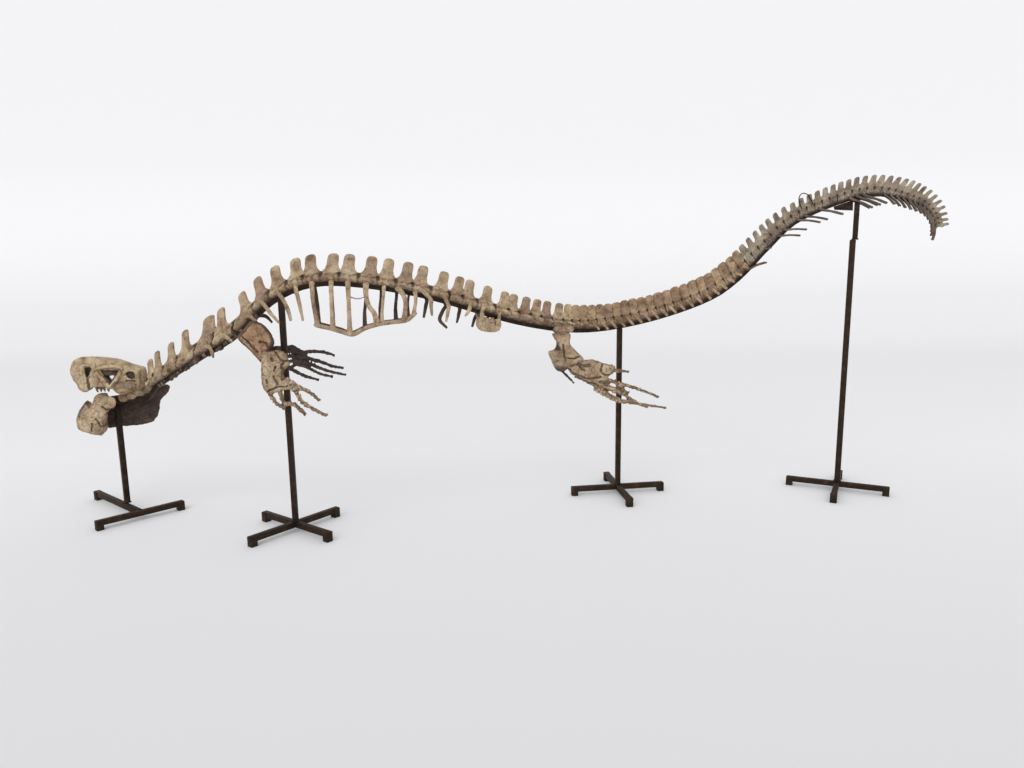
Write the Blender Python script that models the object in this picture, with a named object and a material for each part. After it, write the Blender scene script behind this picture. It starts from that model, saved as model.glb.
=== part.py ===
"""Mounted skeleton of a mosasaur on four steel stands, life size.

Metres, +Z up. The head points along -X and the animal's left side faces -Y. The origin is the
middle of the whole mount's box, on the floor.
"""

import math

import bmesh
import bpy
from mathutils import Matrix, Vector

# Middle of the mount in the plan that the routes below are drawn on.
PLAN_MIDDLE = (0.052, 0.006)

# The backbone, from below the back of the skull to the tip of the tail.
BACKBONE = (
    (-2.103, 0.046, 0.750),  # under the back of the skull
    (-1.903, -0.034, 0.866),
    (-1.652, -0.144, 1.006),
    (-1.436, -0.233, 1.121),  # root of the neck
    (-1.206, -0.298, 1.309),
    (-1.007, -0.319, 1.398),  # withers
    (-0.812, -0.306, 1.413),
    (-0.518, -0.241, 1.369),
    (-0.240, -0.141, 1.293),
    (0.140, 0.029, 1.169),  # loin
    (0.517, 0.202, 1.099),  # hips
    (0.899, 0.319, 1.135),
    (1.275, 0.353, 1.248),
    (1.487, 0.350, 1.378),
    (1.662, 0.343, 1.552),
    (1.833, 0.331, 1.712),
    (2.116, 0.301, 1.831),
    (2.311, 0.270, 1.859),  # crest of the tail
    (2.503, 0.231, 1.808),
    (2.598, 0.208, 1.736),
    (2.636, 0.198, 1.643),  # tip
)
# Distances along the backbone count from a little way behind its first point.
COURSE_START = -0.0295
COLUMN_START = 0.054

# Vertebrae: the first one's place along the backbone, how many, first and last spacing.
NECK = (0.151, 5, 0.118, 0.150)
CHEST = (0.926, 12, 0.1025, 0.1025)
LOIN = (2.150, 10, 0.0925, 0.068)
TAIL_ROOT = (2.932, 21, 0.0575, 0.0575)
TAIL_END = (4.138, 32, 0.055, 0.027)
AXIS_SPINE = 0.074
# Vertebrae that stand closer to a neighbour than the spacing gives.
CROWDING = {
    1: -0.014, 2: -0.007, 3: -0.003, 4: 0.061, 5: 0.031, 7: 0.027, 8: 0.034, 9: 0.042, 10: 0.015,
    11: 0.019, 13: 0.014, 16: -0.020, 19: -0.028, 21: 0.027, 24: -0.006, 25: -0.012, 27: -0.007,
}
BLADE_FILL = 0.90
GAP = 0.0004

# Profiles along the backbone: (distance from the skull joint, value).
SPINE_HEIGHT = (
    (0.07, 0.128), (0.14, 0.148), (0.26, 0.144), (0.39, 0.159), (0.59, 0.155), (0.75, 0.160),
    (0.93, 0.126), (1.20, 0.134),
    (1.90, 0.140), (2.40, 0.124), (2.90, 0.120), (3.90, 0.114), (4.30, 0.114), (4.50, 0.094),
    (4.85, 0.100), (5.06, 0.102), (5.15, 0.105), (5.42, 0.064),
)
SPINE_WIDTH = (
    (0.10, 0.036), (0.40, 0.046), (0.54, 0.048), (0.59, 0.086), (0.64, 0.048), (0.95, 0.048),
    (1.50, 0.056), (2.00, 0.054), (2.60, 0.050),
    (4.00, 0.052), (4.20, 0.033), (5.00, 0.031), (5.42, 0.017),
)
SPINE_LEAN = (
    (0.07, 28.0), (0.14, 30.0), (0.27, 30.0), (0.40, 30.0), (0.60, 30.0), (0.93, 26.0), (1.30, 15.0),
    (1.60, 3.0), (2.00, 1.0),
    (2.40, -6.0), (2.60, 0.0), (3.60, 3.0), (4.20, 15.0), (5.10, 18.0), (5.42, 10.0),
)
ARCH_HEIGHT = (
    (0.00, 0.044), (0.15, 0.050), (0.30, 0.060), (0.62, 0.062), (0.80, 0.048), (1.00, 0.038),
    (2.30, 0.036), (2.90, 0.030), (3.10, 0.058), (4.05, 0.058), (4.30, 0.046),
    (5.00, 0.044), (5.42, 0.022),
)
BODY_DEPTH = (
    (0.00, 0.015), (2.00, 0.016), (2.60, 0.028), (3.90, 0.030), (4.20, 0.018), (5.42, 0.009),
)
BODY_HALF_WIDTH = (
    (0.00, 0.030), (1.00, 0.035), (2.60, 0.035), (3.90, 0.030), (4.60, 0.024), (5.42, 0.010),
)
PROCESS_LENGTH = (
    (0.00, 0.022), (0.90, 0.028), (2.00, 0.030), (2.70, 0.055), (3.60, 0.045), (4.20, 0.012),
)
SPINE_THICKNESS = 0.015
# Sections of a spine above its base: (part of its height, part of its width, part of its thickness).
SPINE_SECTIONS = ((0.86, 1.0, 0.8), (1.0, 0.55, 0.5))
# Section of a vertebra: its flat underside and the level where it is widest.
UNDERSIDE_WIDTH = 0.55
WIDEST_LEVEL = 0.3
PROCESS_THICKNESS = 0.010
PROCESS_TAPER = 0.55
PROCESS_RISE = ((2.97, 0.002), (3.06, -0.038), (3.90, -0.036), (4.20, -0.006))
PROCESS_SWEEP = 0.010
SHORTEST_PROCESS = 0.013
WAIST = 0.80

# Head: its frame has its origin at the skull joint, a forward, side to the left and h up.
HEAD_JOINT = (-2.103, 0.046, 0.826)
HEAD_TURN = math.radians(198.0)
HEAD_ROLL = math.radians(4.0)
SKULL = (
    (-0.034, 0.060), (-0.022, 0.070), (0.031, 0.088), (0.072, 0.109), (0.108, 0.124), (0.202, 0.141),
    (0.284, 0.147), (0.327, 0.137), (0.353, 0.107), (0.363, 0.067), (0.354, 0.023), (0.337, -0.006),
    (0.324, -0.042), (0.294, -0.061), (0.262, -0.047), (0.250, -0.037), (0.148, -0.046),
    (0.108, -0.086), (0.033, -0.068), (-0.034, -0.040),
)
SKULL_HALF_WIDTH = ((-0.03, 0.080), (0.05, 0.098), (0.15, 0.084), (0.25, 0.062), (0.32, 0.050), (0.36, 0.036))
SKULL_ROOF_HEIGHT = 0.145
SKULL_ROOF_NARROWING = 0.45
ORBIT = ((0.203, 0.066), (0.097, 0.062), (0.150, -0.026))
SIGHT_HOLE = ((0.179, 0.026), (0.124, 0.026), (0.150, -0.017))
SIGHT_TURN = math.radians(9.0)
NOSTRIL = ((0.286, 0.082), (0.249, 0.080), (0.251, 0.040), (0.270, -0.014), (0.281, 0.032))
LORE_SLOT = ((0.242, 0.022), (0.226, 0.021), (0.226, -0.003), (0.242, -0.002))
TEMPORAL_WINDOW = ((0.062, 0.047), (0.015, 0.050), (0.015, 0.002), (0.068, 0.005))
CHEEK_HOLLOW = ((0.125, -0.034), (0.018, -0.012), (0.010, -0.040), (0.083, -0.065))
POCKET_DEPTH = 0.035
SIGHT_SLOPE = 0.10
BEYOND_SKULL = 0.2
TEETH = (0.164, 0.184, 0.204, 0.224)
TOOTH_LENGTH = 0.020
TOOTH_ROOT = -0.030
TOOTH_LINE = -0.048
TOOTH_RAKE = 0.004
TOOTH_RADII = (0.008, 0.003)
TOOTH_ROW = 0.80
JAW_LEFT = (
    (0.238, -0.079), (0.264, -0.133), (0.276, -0.144), (0.296, -0.113), (0.322, -0.146),
    (0.346, -0.185), (0.355, -0.225), (0.349, -0.273), (0.314, -0.293), (0.228, -0.319),
    (0.204, -0.285), (0.204, -0.226), (0.179, -0.175), (0.135, -0.149), (0.131, -0.108),
    (0.150, -0.092), (0.191, -0.080),
)
JAW_RIGHT = (
    (0.226, -0.296), (0.142, -0.295), (0.065, -0.296), (-0.025, -0.285), (-0.068, -0.239),
    (-0.092, -0.148), (-0.134, -0.108), (-0.144, -0.060), (-0.094, -0.056), (-0.037, -0.074),
    (0.048, -0.099), (0.130, -0.099), (0.212, -0.117), (0.230, -0.198),
)
JAW_SPREAD = 0.072
JAW_RIGHT_INNER = 0.104
JAW_FRONT = 0.190
JAW_TAPER = (0.235, 0.355)
JAW_TIP_HALF_WIDTH = 0.036
JAW_THICKNESS = 0.034
# The neck goes on under the skull: (forward, middle height, half height) in the head's frame.
THROAT = ((0.118, -0.122, 0.016), (0.070, -0.108, 0.022), (0.020, -0.092, 0.021), (-0.046, -0.072, 0.020))
THROAT_HALF_WIDTH = 0.030
# Section of the throat: (part of the half width, part of the half height).
THROAT_SECTION = ((0.55, -1.0), (-0.55, -1.0), (-1.0, 0.2), (-0.35, 1.0), (0.35, 1.0), (1.0, 0.2))

# Ribs. Free ribs: vertebra number: (drop, sweep towards the tail), left and right.
FREE_RIBS_LEFT = {
    6: ((1.016, 0.040), (1.073, 0.117)),
    7: ((1.108, 0.022), (1.151, 0.098), (1.197, 0.171)),
    8: ((1.222, 0.050), (1.250, 0.123), (1.262, 0.184)),
    9: ((1.298, 0.032), (1.309, 0.099), (1.324, 0.202)),
    16: ((1.985, 0.036), (1.986, 0.073), (1.990, 0.127)),
    17: ((2.088, 0.048), (2.082, 0.089), (2.071, 0.142)),
    19: ((2.212, 0.044), (2.186, 0.084)),
}
FREE_RIBS_RIGHT = {
    6: ((0.985, 0.040), (1.040, 0.110)),
    7: ((1.120, 0.034), (1.163, 0.106), (1.180, 0.174)),
    8: ((1.226, 0.036), (1.242, 0.094), (1.260, 0.200)),
    16: ((1.990, 0.040), (1.984, 0.081), (1.969, 0.151)),
    17: ((2.106, 0.044), (2.087, 0.085), (2.067, 0.141), (2.112, 0.178)),
    18: ((2.192, 0.040), (2.187, 0.079), (2.172, 0.134)),
    20: ((2.312, 0.040), (2.289, 0.075), (2.269, 0.133)),
}
FREE_RIB_BOW = ((6, 0.095), (9, 0.100), (16, 0.055), (20, 0.050))
FREE_RIB_SIZE = (0.022, 0.012)
FREE_RIB_TIP = 0.7
RIB_HEAD_OUT = 0.014
RIB_HEAD_BACK = 0.008
# The costal bar under the ribs of each side: (distance along the backbone, drop below it).
COSTAL_BAR_LEFT = (
    (1.378, 0.226), (1.392, 0.240), (1.449, 0.258), (1.502, 0.274), (1.546, 0.288), (1.576, 0.280),
    (1.623, 0.250), (1.702, 0.216), (1.780, 0.195), (1.838, 0.178), (1.871, 0.150), (1.892, 0.122),
)
COSTAL_BAR_RIGHT = (
    (1.343, 0.228), (1.357, 0.243), (1.426, 0.266), (1.490, 0.284), (1.540, 0.300), (1.575, 0.292),
    (1.627, 0.262), (1.714, 0.228), (1.802, 0.203), (1.862, 0.182), (1.897, 0.150),
)
COSTAL_BAR_SIDE = 0.088
COSTAL_BAR_SIZE = (0.016, 0.026)
# Ribs of the cage: (foot on the bar, width, the places it passes on its way up).
CAGE_RIBS_LEFT = (
    (1.3920, 0.026, ((1.388, 0.180), (1.381, 0.110), (1.374, 0.012))),
    (1.4640, 0.024, ((1.465, 0.180), (1.465, 0.110), (1.466, 0.012))),
    (1.5460, 0.026, ((1.547, 0.200), (1.548, 0.110), (1.548, 0.012))),
    (1.6880, 0.029, ((1.674, 0.162), (1.649, 0.127), (1.636, 0.071), (1.639, 0.012))),
    (1.7130, 0.019, ((1.714, 0.150), (1.722, 0.086), (1.731, 0.012))),
    (1.8260, 0.029, ((1.832, 0.130), (1.836, 0.079), (1.826, 0.040), (1.803, 0.012))),
    (1.8800, 0.022, ((1.884, 0.098), (1.889, 0.064), (1.893, 0.014))),
)
CAGE_RIBS_RIGHT = (
    (1.3570, 0.026, ((1.354, 0.180), (1.349, 0.110), (1.342, 0.012))),
    (1.4460, 0.022, ((1.446, 0.180), (1.446, 0.110), (1.446, 0.012))),
    (1.5420, 0.022, ((1.543, 0.200), (1.544, 0.110), (1.544, 0.012))),
    (1.6270, 0.022, ((1.630, 0.180), (1.640, 0.109), (1.644, 0.012))),
    (1.7160, 0.017, ((1.718, 0.150), (1.726, 0.086), (1.732, 0.012))),
    (1.8090, 0.022, ((1.812, 0.130), (1.820, 0.066), (1.822, 0.012))),
    (1.8850, 0.017, ((1.888, 0.100), (1.892, 0.064), (1.896, 0.014))),
)
RIB_BOW = 0.030
RIB_TOP_SIDE = 0.078
RIB_THICKNESS = 0.012

# Chevrons below the end of the tail: (distance, degrees below the line to the tip), (distance, length).
CHEVRON_DROOP = (
    (4.10, 26.0), (4.35, 48.0), (4.50, 40.0), (4.60, 36.0), (4.83, 41.0), (4.91, 30.0), (5.05, 40.0),
    (5.42, 30.0),
)
CHEVRON_LENGTH = ((4.00, 0.125), (4.70, 0.140), (4.92, 0.145), (4.99, 0.090), (5.42, 0.078))
CHEVRON_FULL_LENGTH = 0.140
CHEVRON_ROOT_LEVEL = 0.8
CHEVRON_TAPER = 0.8
CHEVRON_SIZE = (0.014, 0.010)
CHEVRON_CLEARANCE = 0.0105
CHEVRON_CLOSED = 0.0065
CHEVRON_CLOSING_DEPTH = 0.040
SLIMMEST_CHEVRON = 0.75
FIRST_CHEVRON = 48
NO_CHEVRON = (49, 50, 52, 55, 58, 60, 61, 62, 66, 67)
BROKEN_CHEVRONS = {51: 0.035}
# Chevrons that start in this span pass wide of the tail post.
POST_SPAN = (4.81, 4.90)
POST_DETOUR = 0.0125

# Limbs: outlines in the limb's own plane, x towards the tail and z up, from the joint named.
SHOULDER = (
    (-0.179, 0.074), (-0.142, 0.116), (-0.105, 0.158), (-0.042, 0.142), (0.000, 0.089), (0.011, 0.047),
    (-0.011, 0.011), (-0.042, -0.026), (-0.058, -0.061), (-0.095, -0.021), (-0.126, 0.016),
)
FORE_PLATE = (
    (-0.042, -0.005), (-0.010, 0.006), (0.070, 0.004), (0.100, -0.042), (0.104, -0.068),
    (0.074, -0.104), (0.074, -0.126), (0.096, -0.160), (0.104, -0.198), (0.058, -0.204),
    (0.008, -0.222), (-0.022, -0.214), (-0.042, -0.184), (-0.047, -0.105),
)
FORE_DIGITS_LEFT = (
    ((-0.016, -0.180), (0.005, -0.241), (0.037, -0.277), (0.073, -0.298)),
    ((0.045, -0.190), (0.058, -0.246), (0.070, -0.280)),
    ((0.066, -0.276), (0.110, -0.267), (0.147, -0.298), (0.183, -0.335)),
    ((0.085, -0.165), (0.141, -0.220), (0.157, -0.262), (0.215, -0.298), (0.293, -0.340)),
    ((0.080, -0.142), (0.152, -0.188), (0.209, -0.215), (0.257, -0.262)),
)
FORE_PLATE_RIGHT = (
    (-0.100, 0.012), (-0.020, 0.026), (0.034, 0.028), (0.062, 0.017), (0.090, 0.000), (0.129, -0.017),
    (0.135, -0.039), (0.118, -0.056), (0.090, -0.067), (0.060, -0.085), (0.035, -0.115),
    (0.000, -0.120), (-0.080, -0.090),
)
FORE_DIGITS_RIGHT = (
    ((0.100, -0.016), (0.150, -0.009), (0.202, -0.011), (0.253, -0.022), (0.287, -0.039)),
    ((0.105, -0.042), (0.202, -0.073), (0.270, -0.101), (0.331, -0.112)),
    ((0.079, -0.062), (0.157, -0.090), (0.230, -0.124), (0.343, -0.152)),
    ((0.045, -0.080), (0.118, -0.101), (0.180, -0.140), (0.264, -0.163)),
    ((0.022, -0.106), (0.084, -0.146), (0.146, -0.169), (0.185, -0.180)),
)
FEMUR = (
    (-0.056, -0.002), (-0.050, -0.024), (-0.024, -0.062), (-0.002, -0.112), (0.012, -0.160),
    (0.030, -0.183), (0.068, -0.176), (0.124, -0.148), (0.082, -0.106), (0.046, -0.064), (0.048, -0.004),
)
FEMUR_RIGHT = (
    (-0.045, 0.000), (-0.034, -0.060), (-0.046, -0.108), (-0.084, -0.120), (-0.072, -0.160),
    (-0.034, -0.236), (0.002, -0.238), (0.018, -0.170), (0.020, -0.080), (0.045, 0.000),
)
ILIUM = ((-0.050, 0.004), (0.060, 0.004), (0.072, 0.036), (0.020, 0.050), (-0.044, 0.040))
HIND_PLATE = (
    (0.046, -0.194), (0.080, -0.182), (0.120, -0.163), (0.179, -0.158), (0.250, -0.180),
    (0.308, -0.195), (0.308, -0.232), (0.250, -0.256), (0.236, -0.300), (0.200, -0.326),
    (0.156, -0.306), (0.106, -0.273), (0.056, -0.238), (0.040, -0.214),
)
HIND_DIGITS_LEFT = (
    ((0.260, -0.215), (0.330, -0.226), (0.396, -0.233)),
    ((0.235, -0.272), (0.338, -0.300), (0.455, -0.338), (0.571, -0.385)),
    ((0.240, -0.300), (0.310, -0.335), (0.396, -0.357)),
    ((0.185, -0.315), (0.285, -0.375), (0.370, -0.408), (0.500, -0.430), (0.612, -0.449)),
)
HIND_PLATE_RIGHT = (
    (0.010, -0.242), (0.080, -0.214), (0.140, -0.238), (0.156, -0.280), (0.100, -0.304),
    (0.044, -0.292), (-0.020, -0.250),
)
HIND_DIGITS_RIGHT = (
    ((0.000, -0.258), (0.030, -0.276), (0.067, -0.307)),
    ((0.080, -0.280), (0.140, -0.302), (0.190, -0.322)),
    ((0.110, -0.255), (0.170, -0.270), (0.215, -0.290)),
)
DIGIT_RADIUS = 0.0135
DIGIT_TAPER = 0.35
# Neighbouring digits lie a little to either side of the middle of their plate.
DIGIT_STAGGER = 0.3

# Where each limb's joint is, and how far in degrees the limb leans outwards below it.
SHOULDER_LEFT = (-1.168, -0.415, 1.046)
SHOULDER_RIGHT = (-1.240, -0.175, 1.004)
FORE_JOINT_LEFT = (-1.168, -0.452, 1.042)
FORE_JOINT_RIGHT = (-1.188, -0.130, 1.008)
HIP_JOINT_LEFT = (0.397, 0.048, 1.064)
HIP_JOINT_RIGHT = (0.411, 0.256, 1.040)
FORE_LEAN = 8.0
HIND_LEAN = 8.0
# Broad bone under the loin: (distance along the backbone, drop).
LOIN_BONE = (
    (2.301, 0.058), (2.283, 0.108), (2.299, 0.137), (2.344, 0.140), (2.410, 0.118), (2.430, 0.080),
    (2.425, 0.060), (2.370, 0.056),
)
LOIN_BONE_HALF_WIDTH = 0.030

# Steel: the bar that carries the vertebrae, the posts and their crosses.
BAR_DROP = 0.003
BAR_DEPTH = ((0.00, 0.022), (3.90, 0.020), (4.30, 0.015), (5.42, 0.009))
BAR_HALF_WIDTH = ((0.00, 0.011), (3.90, 0.011), (4.30, 0.007), (5.42, 0.005))
# The bar comes down under the skull to the head post: (forward, side, height) in the head's frame.
HEAD_ROD = ((0.112, -0.034, -0.154), (0.020, -0.014, -0.133), (-0.040, 0.000, -0.119))
HEAD_ROD_START = 0.012
BAR_START = 0.090
BAR_END_SETBACK = 0.020
BAR_STEPS = 80
POST_SIDE = 0.030
TAIL_POST_SIDE = 0.034
POST_CLEARANCE = 0.002
FOOT_BAR_SIDE = 0.032
FOOT_SIDE = 0.040
FOOT_HEIGHT = 0.058
# Posts: plan place and how many degrees each is turned.
HEAD_POST = (-2.257, 0.048, 45.0)
CHEST_POST = (-1.133, -0.310, 0.0)
HIP_POST = (0.769, 0.290, 8.0)
TAIL_POST = (2.176, 0.290, -26.0)
TAIL_UPPER_POST = (2.188, 0.290, -26.0)
HEAD_POST_TOP = 0.655
TAIL_POST_TOP = 1.580
# Floor crosses: plan middle, then (degrees, reach one way, reach the other way) of each bar.
HEAD_CROSS = ((-2.109, -0.094), ((45.0, 0.25, 0.25), (140.0, 0.00, 0.61)))
CHEST_CROSS = ((-1.133, -0.310), ((52.0, 0.30, 0.30), (-37.0, 0.29, 0.29)))
HIP_CROSS = ((0.769, 0.290), ((8.0, 0.30, 0.30), (-82.0, 0.28, 0.28)))
TAIL_CROSS = ((2.174, 0.290), ((-26.0, 0.305, 0.305), (-116.0, 0.28, 0.28)))
# Steel near the tail post: a web from it to the bar, by (distance, depth under the bar), and a wire hoop
# beside a spine, by (distance, height).
GUSSET = ((4.735, 0.0015), (4.795, 0.0015), (4.852, 0.0015), (4.854, 0.062), (4.800, 0.044), (4.742, 0.022))
GUSSET_THICKNESS = 0.012
HOOP = ((4.556, 0.032), (4.560, 0.088), (4.588, 0.116), (4.616, 0.088), (4.622, 0.032))
HOOP_SIDE = -0.0180
HOOP_RADIUS = 0.003

BONE = (0.330, 0.225, 0.125, 1.0)
TAIL_BONE = (0.225, 0.160, 0.110, 1.0)
DARK_BONE = (0.060, 0.035, 0.022, 1.0)
SHOULDER_BONE = (0.300, 0.150, 0.065, 1.0)
RUSTY_STEEL = (0.022, 0.014, 0.010, 1.0)

UP = Vector((0.0, 0.0, 1.0))


def clear_scene():
    for obj in list(bpy.data.objects):
        bpy.data.objects.remove(obj, do_unlink=True)


def make_material(name, colour, roughness, metallic=0.0):
    material = bpy.data.materials.new(name)
    material.use_nodes = True
    shader = material.node_tree.nodes["Principled BSDF"]
    shader.inputs["Base Color"].default_value = colour
    shader.inputs["Roughness"].default_value = roughness
    shader.inputs["Metallic"].default_value = metallic
    return material


def profile(table, s):
    """Value at s of a table of (distance, value), straight between its rows."""
    if s <= table[0][0]:
        return table[0][1]
    for (s0, v0), (s1, v1) in zip(table, table[1:]):
        if s <= s1:
            return v0 + (v1 - v0) * (s - s0) / (s1 - s0)
    return table[-1][1]


def smooth_route(points, steps=16):
    """Catmull-Rom curve through the points, as a dense list."""
    pts = [Vector(p) for p in points]
    pts = [2 * pts[0] - pts[1], *pts, 2 * pts[-1] - pts[-2]]
    route = []
    for p0, p1, p2, p3 in zip(pts, pts[1:], pts[2:], pts[3:]):
        for k in range(steps):
            t = k / steps
            route.append(
                0.5 * (2 * p1 + (p2 - p0) * t + (2 * p0 - 5 * p1 + 4 * p2 - p3) * t * t
                       + (3 * p1 - p0 - 3 * p2 + p3) * t * t * t)
            )
    route.append(pts[-2])
    return route


class Backbone:
    """The curve that the vertebrae follow, measured along its length."""

    def __init__(self, points):
        shift = Vector((PLAN_MIDDLE[0], PLAN_MIDDLE[1], 0.0))
        self.route = [p - shift for p in smooth_route(points)]
        self.along = [COURSE_START]
        for a, b in zip(self.route, self.route[1:]):
            self.along.append(self.along[-1] + (b - a).length)
        self.length = self.along[-1]

    def point(self, s):
        s = max(s, COURSE_START)
        last = len(self.along) - 2
        k = next((i for i in range(last) if self.along[i + 1] >= s), last)
        t = (s - self.along[k]) / (self.along[k + 1] - self.along[k])
        return self.route[k].lerp(self.route[k + 1], t)

    def frame(self, s, reach=0.03):
        """Point, direction to the tail, direction to the animal's right, and up."""
        behind = self.point(min(s + reach, self.length))
        ahead = self.point(max(s - reach, COURSE_START))
        along = (behind - ahead).normalized()
        right = UP.cross(along).normalized()
        return self.point(s), along, right, along.cross(right)

    def place(self, s, side, height, shift=0.0):
        """A place beside and above the curve, square to it."""
        point, along, right, up = self.frame(s)
        return point + right * side + up * height + along * shift

    def hang(self, s, side, drop):
        """A place beside the curve and plumb below it."""
        point, _, right, _ = self.frame(s)
        return point + right * side - UP * drop


def stations():
    """Places of all vertebrae along the backbone, and the index where each region starts."""
    places = [AXIS_SPINE]
    starts = [0]
    for first, count, spacing, last_spacing in (NECK, CHEST, LOIN, TAIL_ROOT, TAIL_END):
        starts.append(len(places))
        s = first
        for k in range(count):
            places.append(s)
            s += spacing + (last_spacing - spacing) * k / (count - 1)
    for k, shift in CROWDING.items():
        places[k] += shift
    return places, starts


def blade_width(places, k):
    """Width of a neural spine along the backbone, which its nearer neighbour may limit."""
    room = min(abs(places[k] - places[n]) for n in (k - 1, k + 1) if 0 <= n < len(places))
    return min(profile(SPINE_WIDTH, places[k]), BLADE_FILL * room)


def loft(bm, rings):
    """Closed skin over rings of coordinates, with flat ends. Returns its quads, span by span."""
    loops = [[bm.verts.new(co) for co in ring] for ring in rings]
    count = len(loops[0])
    spans = []
    for a, b in zip(loops, loops[1:]):
        spans.append(
            [bm.faces.new((a[i], a[(i + 1) % count], b[(i + 1) % count], b[i])) for i in range(count)]
        )
    bm.faces.new(list(reversed(loops[0])))
    bm.faces.new(loops[-1])
    return spans


def grow(bm, face, centres, sizes):
    """Draws a face out into a rod of four sides through the centres. sizes are (width, depth)."""
    face.normal_update()
    loop = list(face.verts)
    start = face.calc_center_median()
    direction = face.normal.copy()
    first = (loop[1].co - loop[0].co).normalized()
    first = (first - direction * first.dot(direction)).normalized()
    second = direction.cross(first)
    signs = [
        (math.copysign(0.5, (v.co - start).dot(first)), math.copysign(0.5, (v.co - start).dot(second)))
        for v in loop
    ]
    bm.faces.remove(face)
    previous = start
    for k, (centre, (width, depth)) in enumerate(zip(centres, sizes)):
        following = centres[k + 1] if k + 1 < len(centres) else 2 * centre - previous
        turned = (following - previous).normalized()
        turn = direction.rotation_difference(turned)
        first = turn @ first
        second = turn @ second
        direction = turned
        ring = [bm.verts.new(centre + first * width * a + second * depth * b) for a, b in signs]
        for i in range(4):
            bm.faces.new((loop[i], loop[(i + 1) % 4], ring[(i + 1) % 4], ring[i]))
        loop = ring
        previous = centre
    bm.faces.new(loop)


def pillow(bm, outline, place, half_width, rounding, inset):
    """Solid on both sides of a side outline, its edges rounded off. half_width(a, h) is half of it."""
    middle = sum((Vector(p) for p in outline), Vector((0.0, 0.0))) / len(outline)
    rings = []
    for side, scale in ((-1.0, inset), (-1.0 + rounding, 1.0), (1.0 - rounding, 1.0), (1.0, inset)):
        ring = []
        for p in outline:
            a, h = middle + (Vector(p) - middle) * scale
            ring.append(place(a, h, side * half_width(*p)))
        rings.append(ring)
    loft(bm, rings)


def rod(bm, path, radii, sides=5):
    """Tapered rod with flat ends through the path."""
    rings = []
    reference = None
    for k, centre in enumerate(path):
        ahead = path[min(k + 1, len(path) - 1)]
        behind = path[max(k - 1, 0)]
        direction = (ahead - behind).normalized()
        if reference is None:
            reference = direction.orthogonal().normalized()
        reference = (reference - direction * reference.dot(direction)).normalized()
        other = direction.cross(reference)
        rings.append(
            [
                centre + (reference * math.cos(a) + other * math.sin(a)) * radii[k]
                for a in (2 * math.pi * i / sides for i in range(sides))
            ]
        )
    loft(bm, rings)


def box(bm, centre, size, turn=0.0):
    matrix = Matrix.Translation(centre) @ Matrix.Rotation(turn, 4, "Z")
    matrix = matrix @ Matrix.Diagonal((*size, 1.0))
    bmesh.ops.create_cube(bm, size=1.0, matrix=matrix)


def make_object(name, bm, material):
    bmesh.ops.recalc_face_normals(bm, faces=bm.faces)
    mesh = bpy.data.meshes.new(name)
    bm.to_mesh(mesh)
    bm.free()
    mesh.materials.append(material)
    obj = bpy.data.objects.new(name, mesh)
    bpy.context.scene.collection.objects.link(obj)
    return obj


def make_tool(name, bm, material):
    """A solid that only joins or cuts another one."""
    tool = make_object(name, bm, material)
    tool.hide_render = True
    tool.display_type = "WIRE"
    return tool


def combine(obj, tool, operation):
    modifier = obj.modifiers.new(operation.title() + " " + tool.name, "BOOLEAN")
    modifier.operation = operation
    modifier.solver = "EXACT"
    modifier.use_self = operation == "UNION"
    modifier.object = tool


def body_ring(line, s, scale):
    """Six corners round a vertebra: flat underside, widest at the sides, narrow on top."""
    half = profile(BODY_HALF_WIDTH, s) * scale
    depth = profile(BODY_DEPTH, s) * (0.5 + 0.5 * scale)
    top = profile(ARCH_HEIGHT, s)
    ridge = SPINE_THICKNESS / 2
    corners = (
        (-half * UNDERSIDE_WIDTH, -depth), (half * UNDERSIDE_WIDTH, -depth), (half, depth * WIDEST_LEVEL),
        (ridge, top), (-ridge, top), (-half, depth * WIDEST_LEVEL),
    )
    return [line.place(s, side, height) for side, height in corners]


def throat_rings(line):
    """Rings like those of a vertebra for the part of the neck under the skull, front first."""
    head = head_frame(line)
    rings = []
    for a, middle, half in THROAT:
        rings.append(
            [head @ Vector((a, THROAT_HALF_WIDTH * x, middle + half * y)) for x, y in THROAT_SECTION]
        )
    return rings


UNDER, LOWER_RIGHT, UPPER_RIGHT, RIDGE, UPPER_LEFT, LOWER_LEFT = range(6)


def spine_sections(line, s, width):
    """Centres and sizes of a neural spine: a flat blade, rounded off at its top."""
    height = profile(SPINE_HEIGHT, s)
    lean = math.tan(math.radians(profile(SPINE_LEAN, s)))
    base = profile(ARCH_HEIGHT, s)
    centres = []
    sizes = []
    for part, spread, thin in SPINE_SECTIONS:
        level = base + (height - base) * part
        centres.append(line.place(s, 0.0, level, lean * level))
        sizes.append((width * spread, SPINE_THICKNESS * thin))
    return centres, sizes


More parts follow.
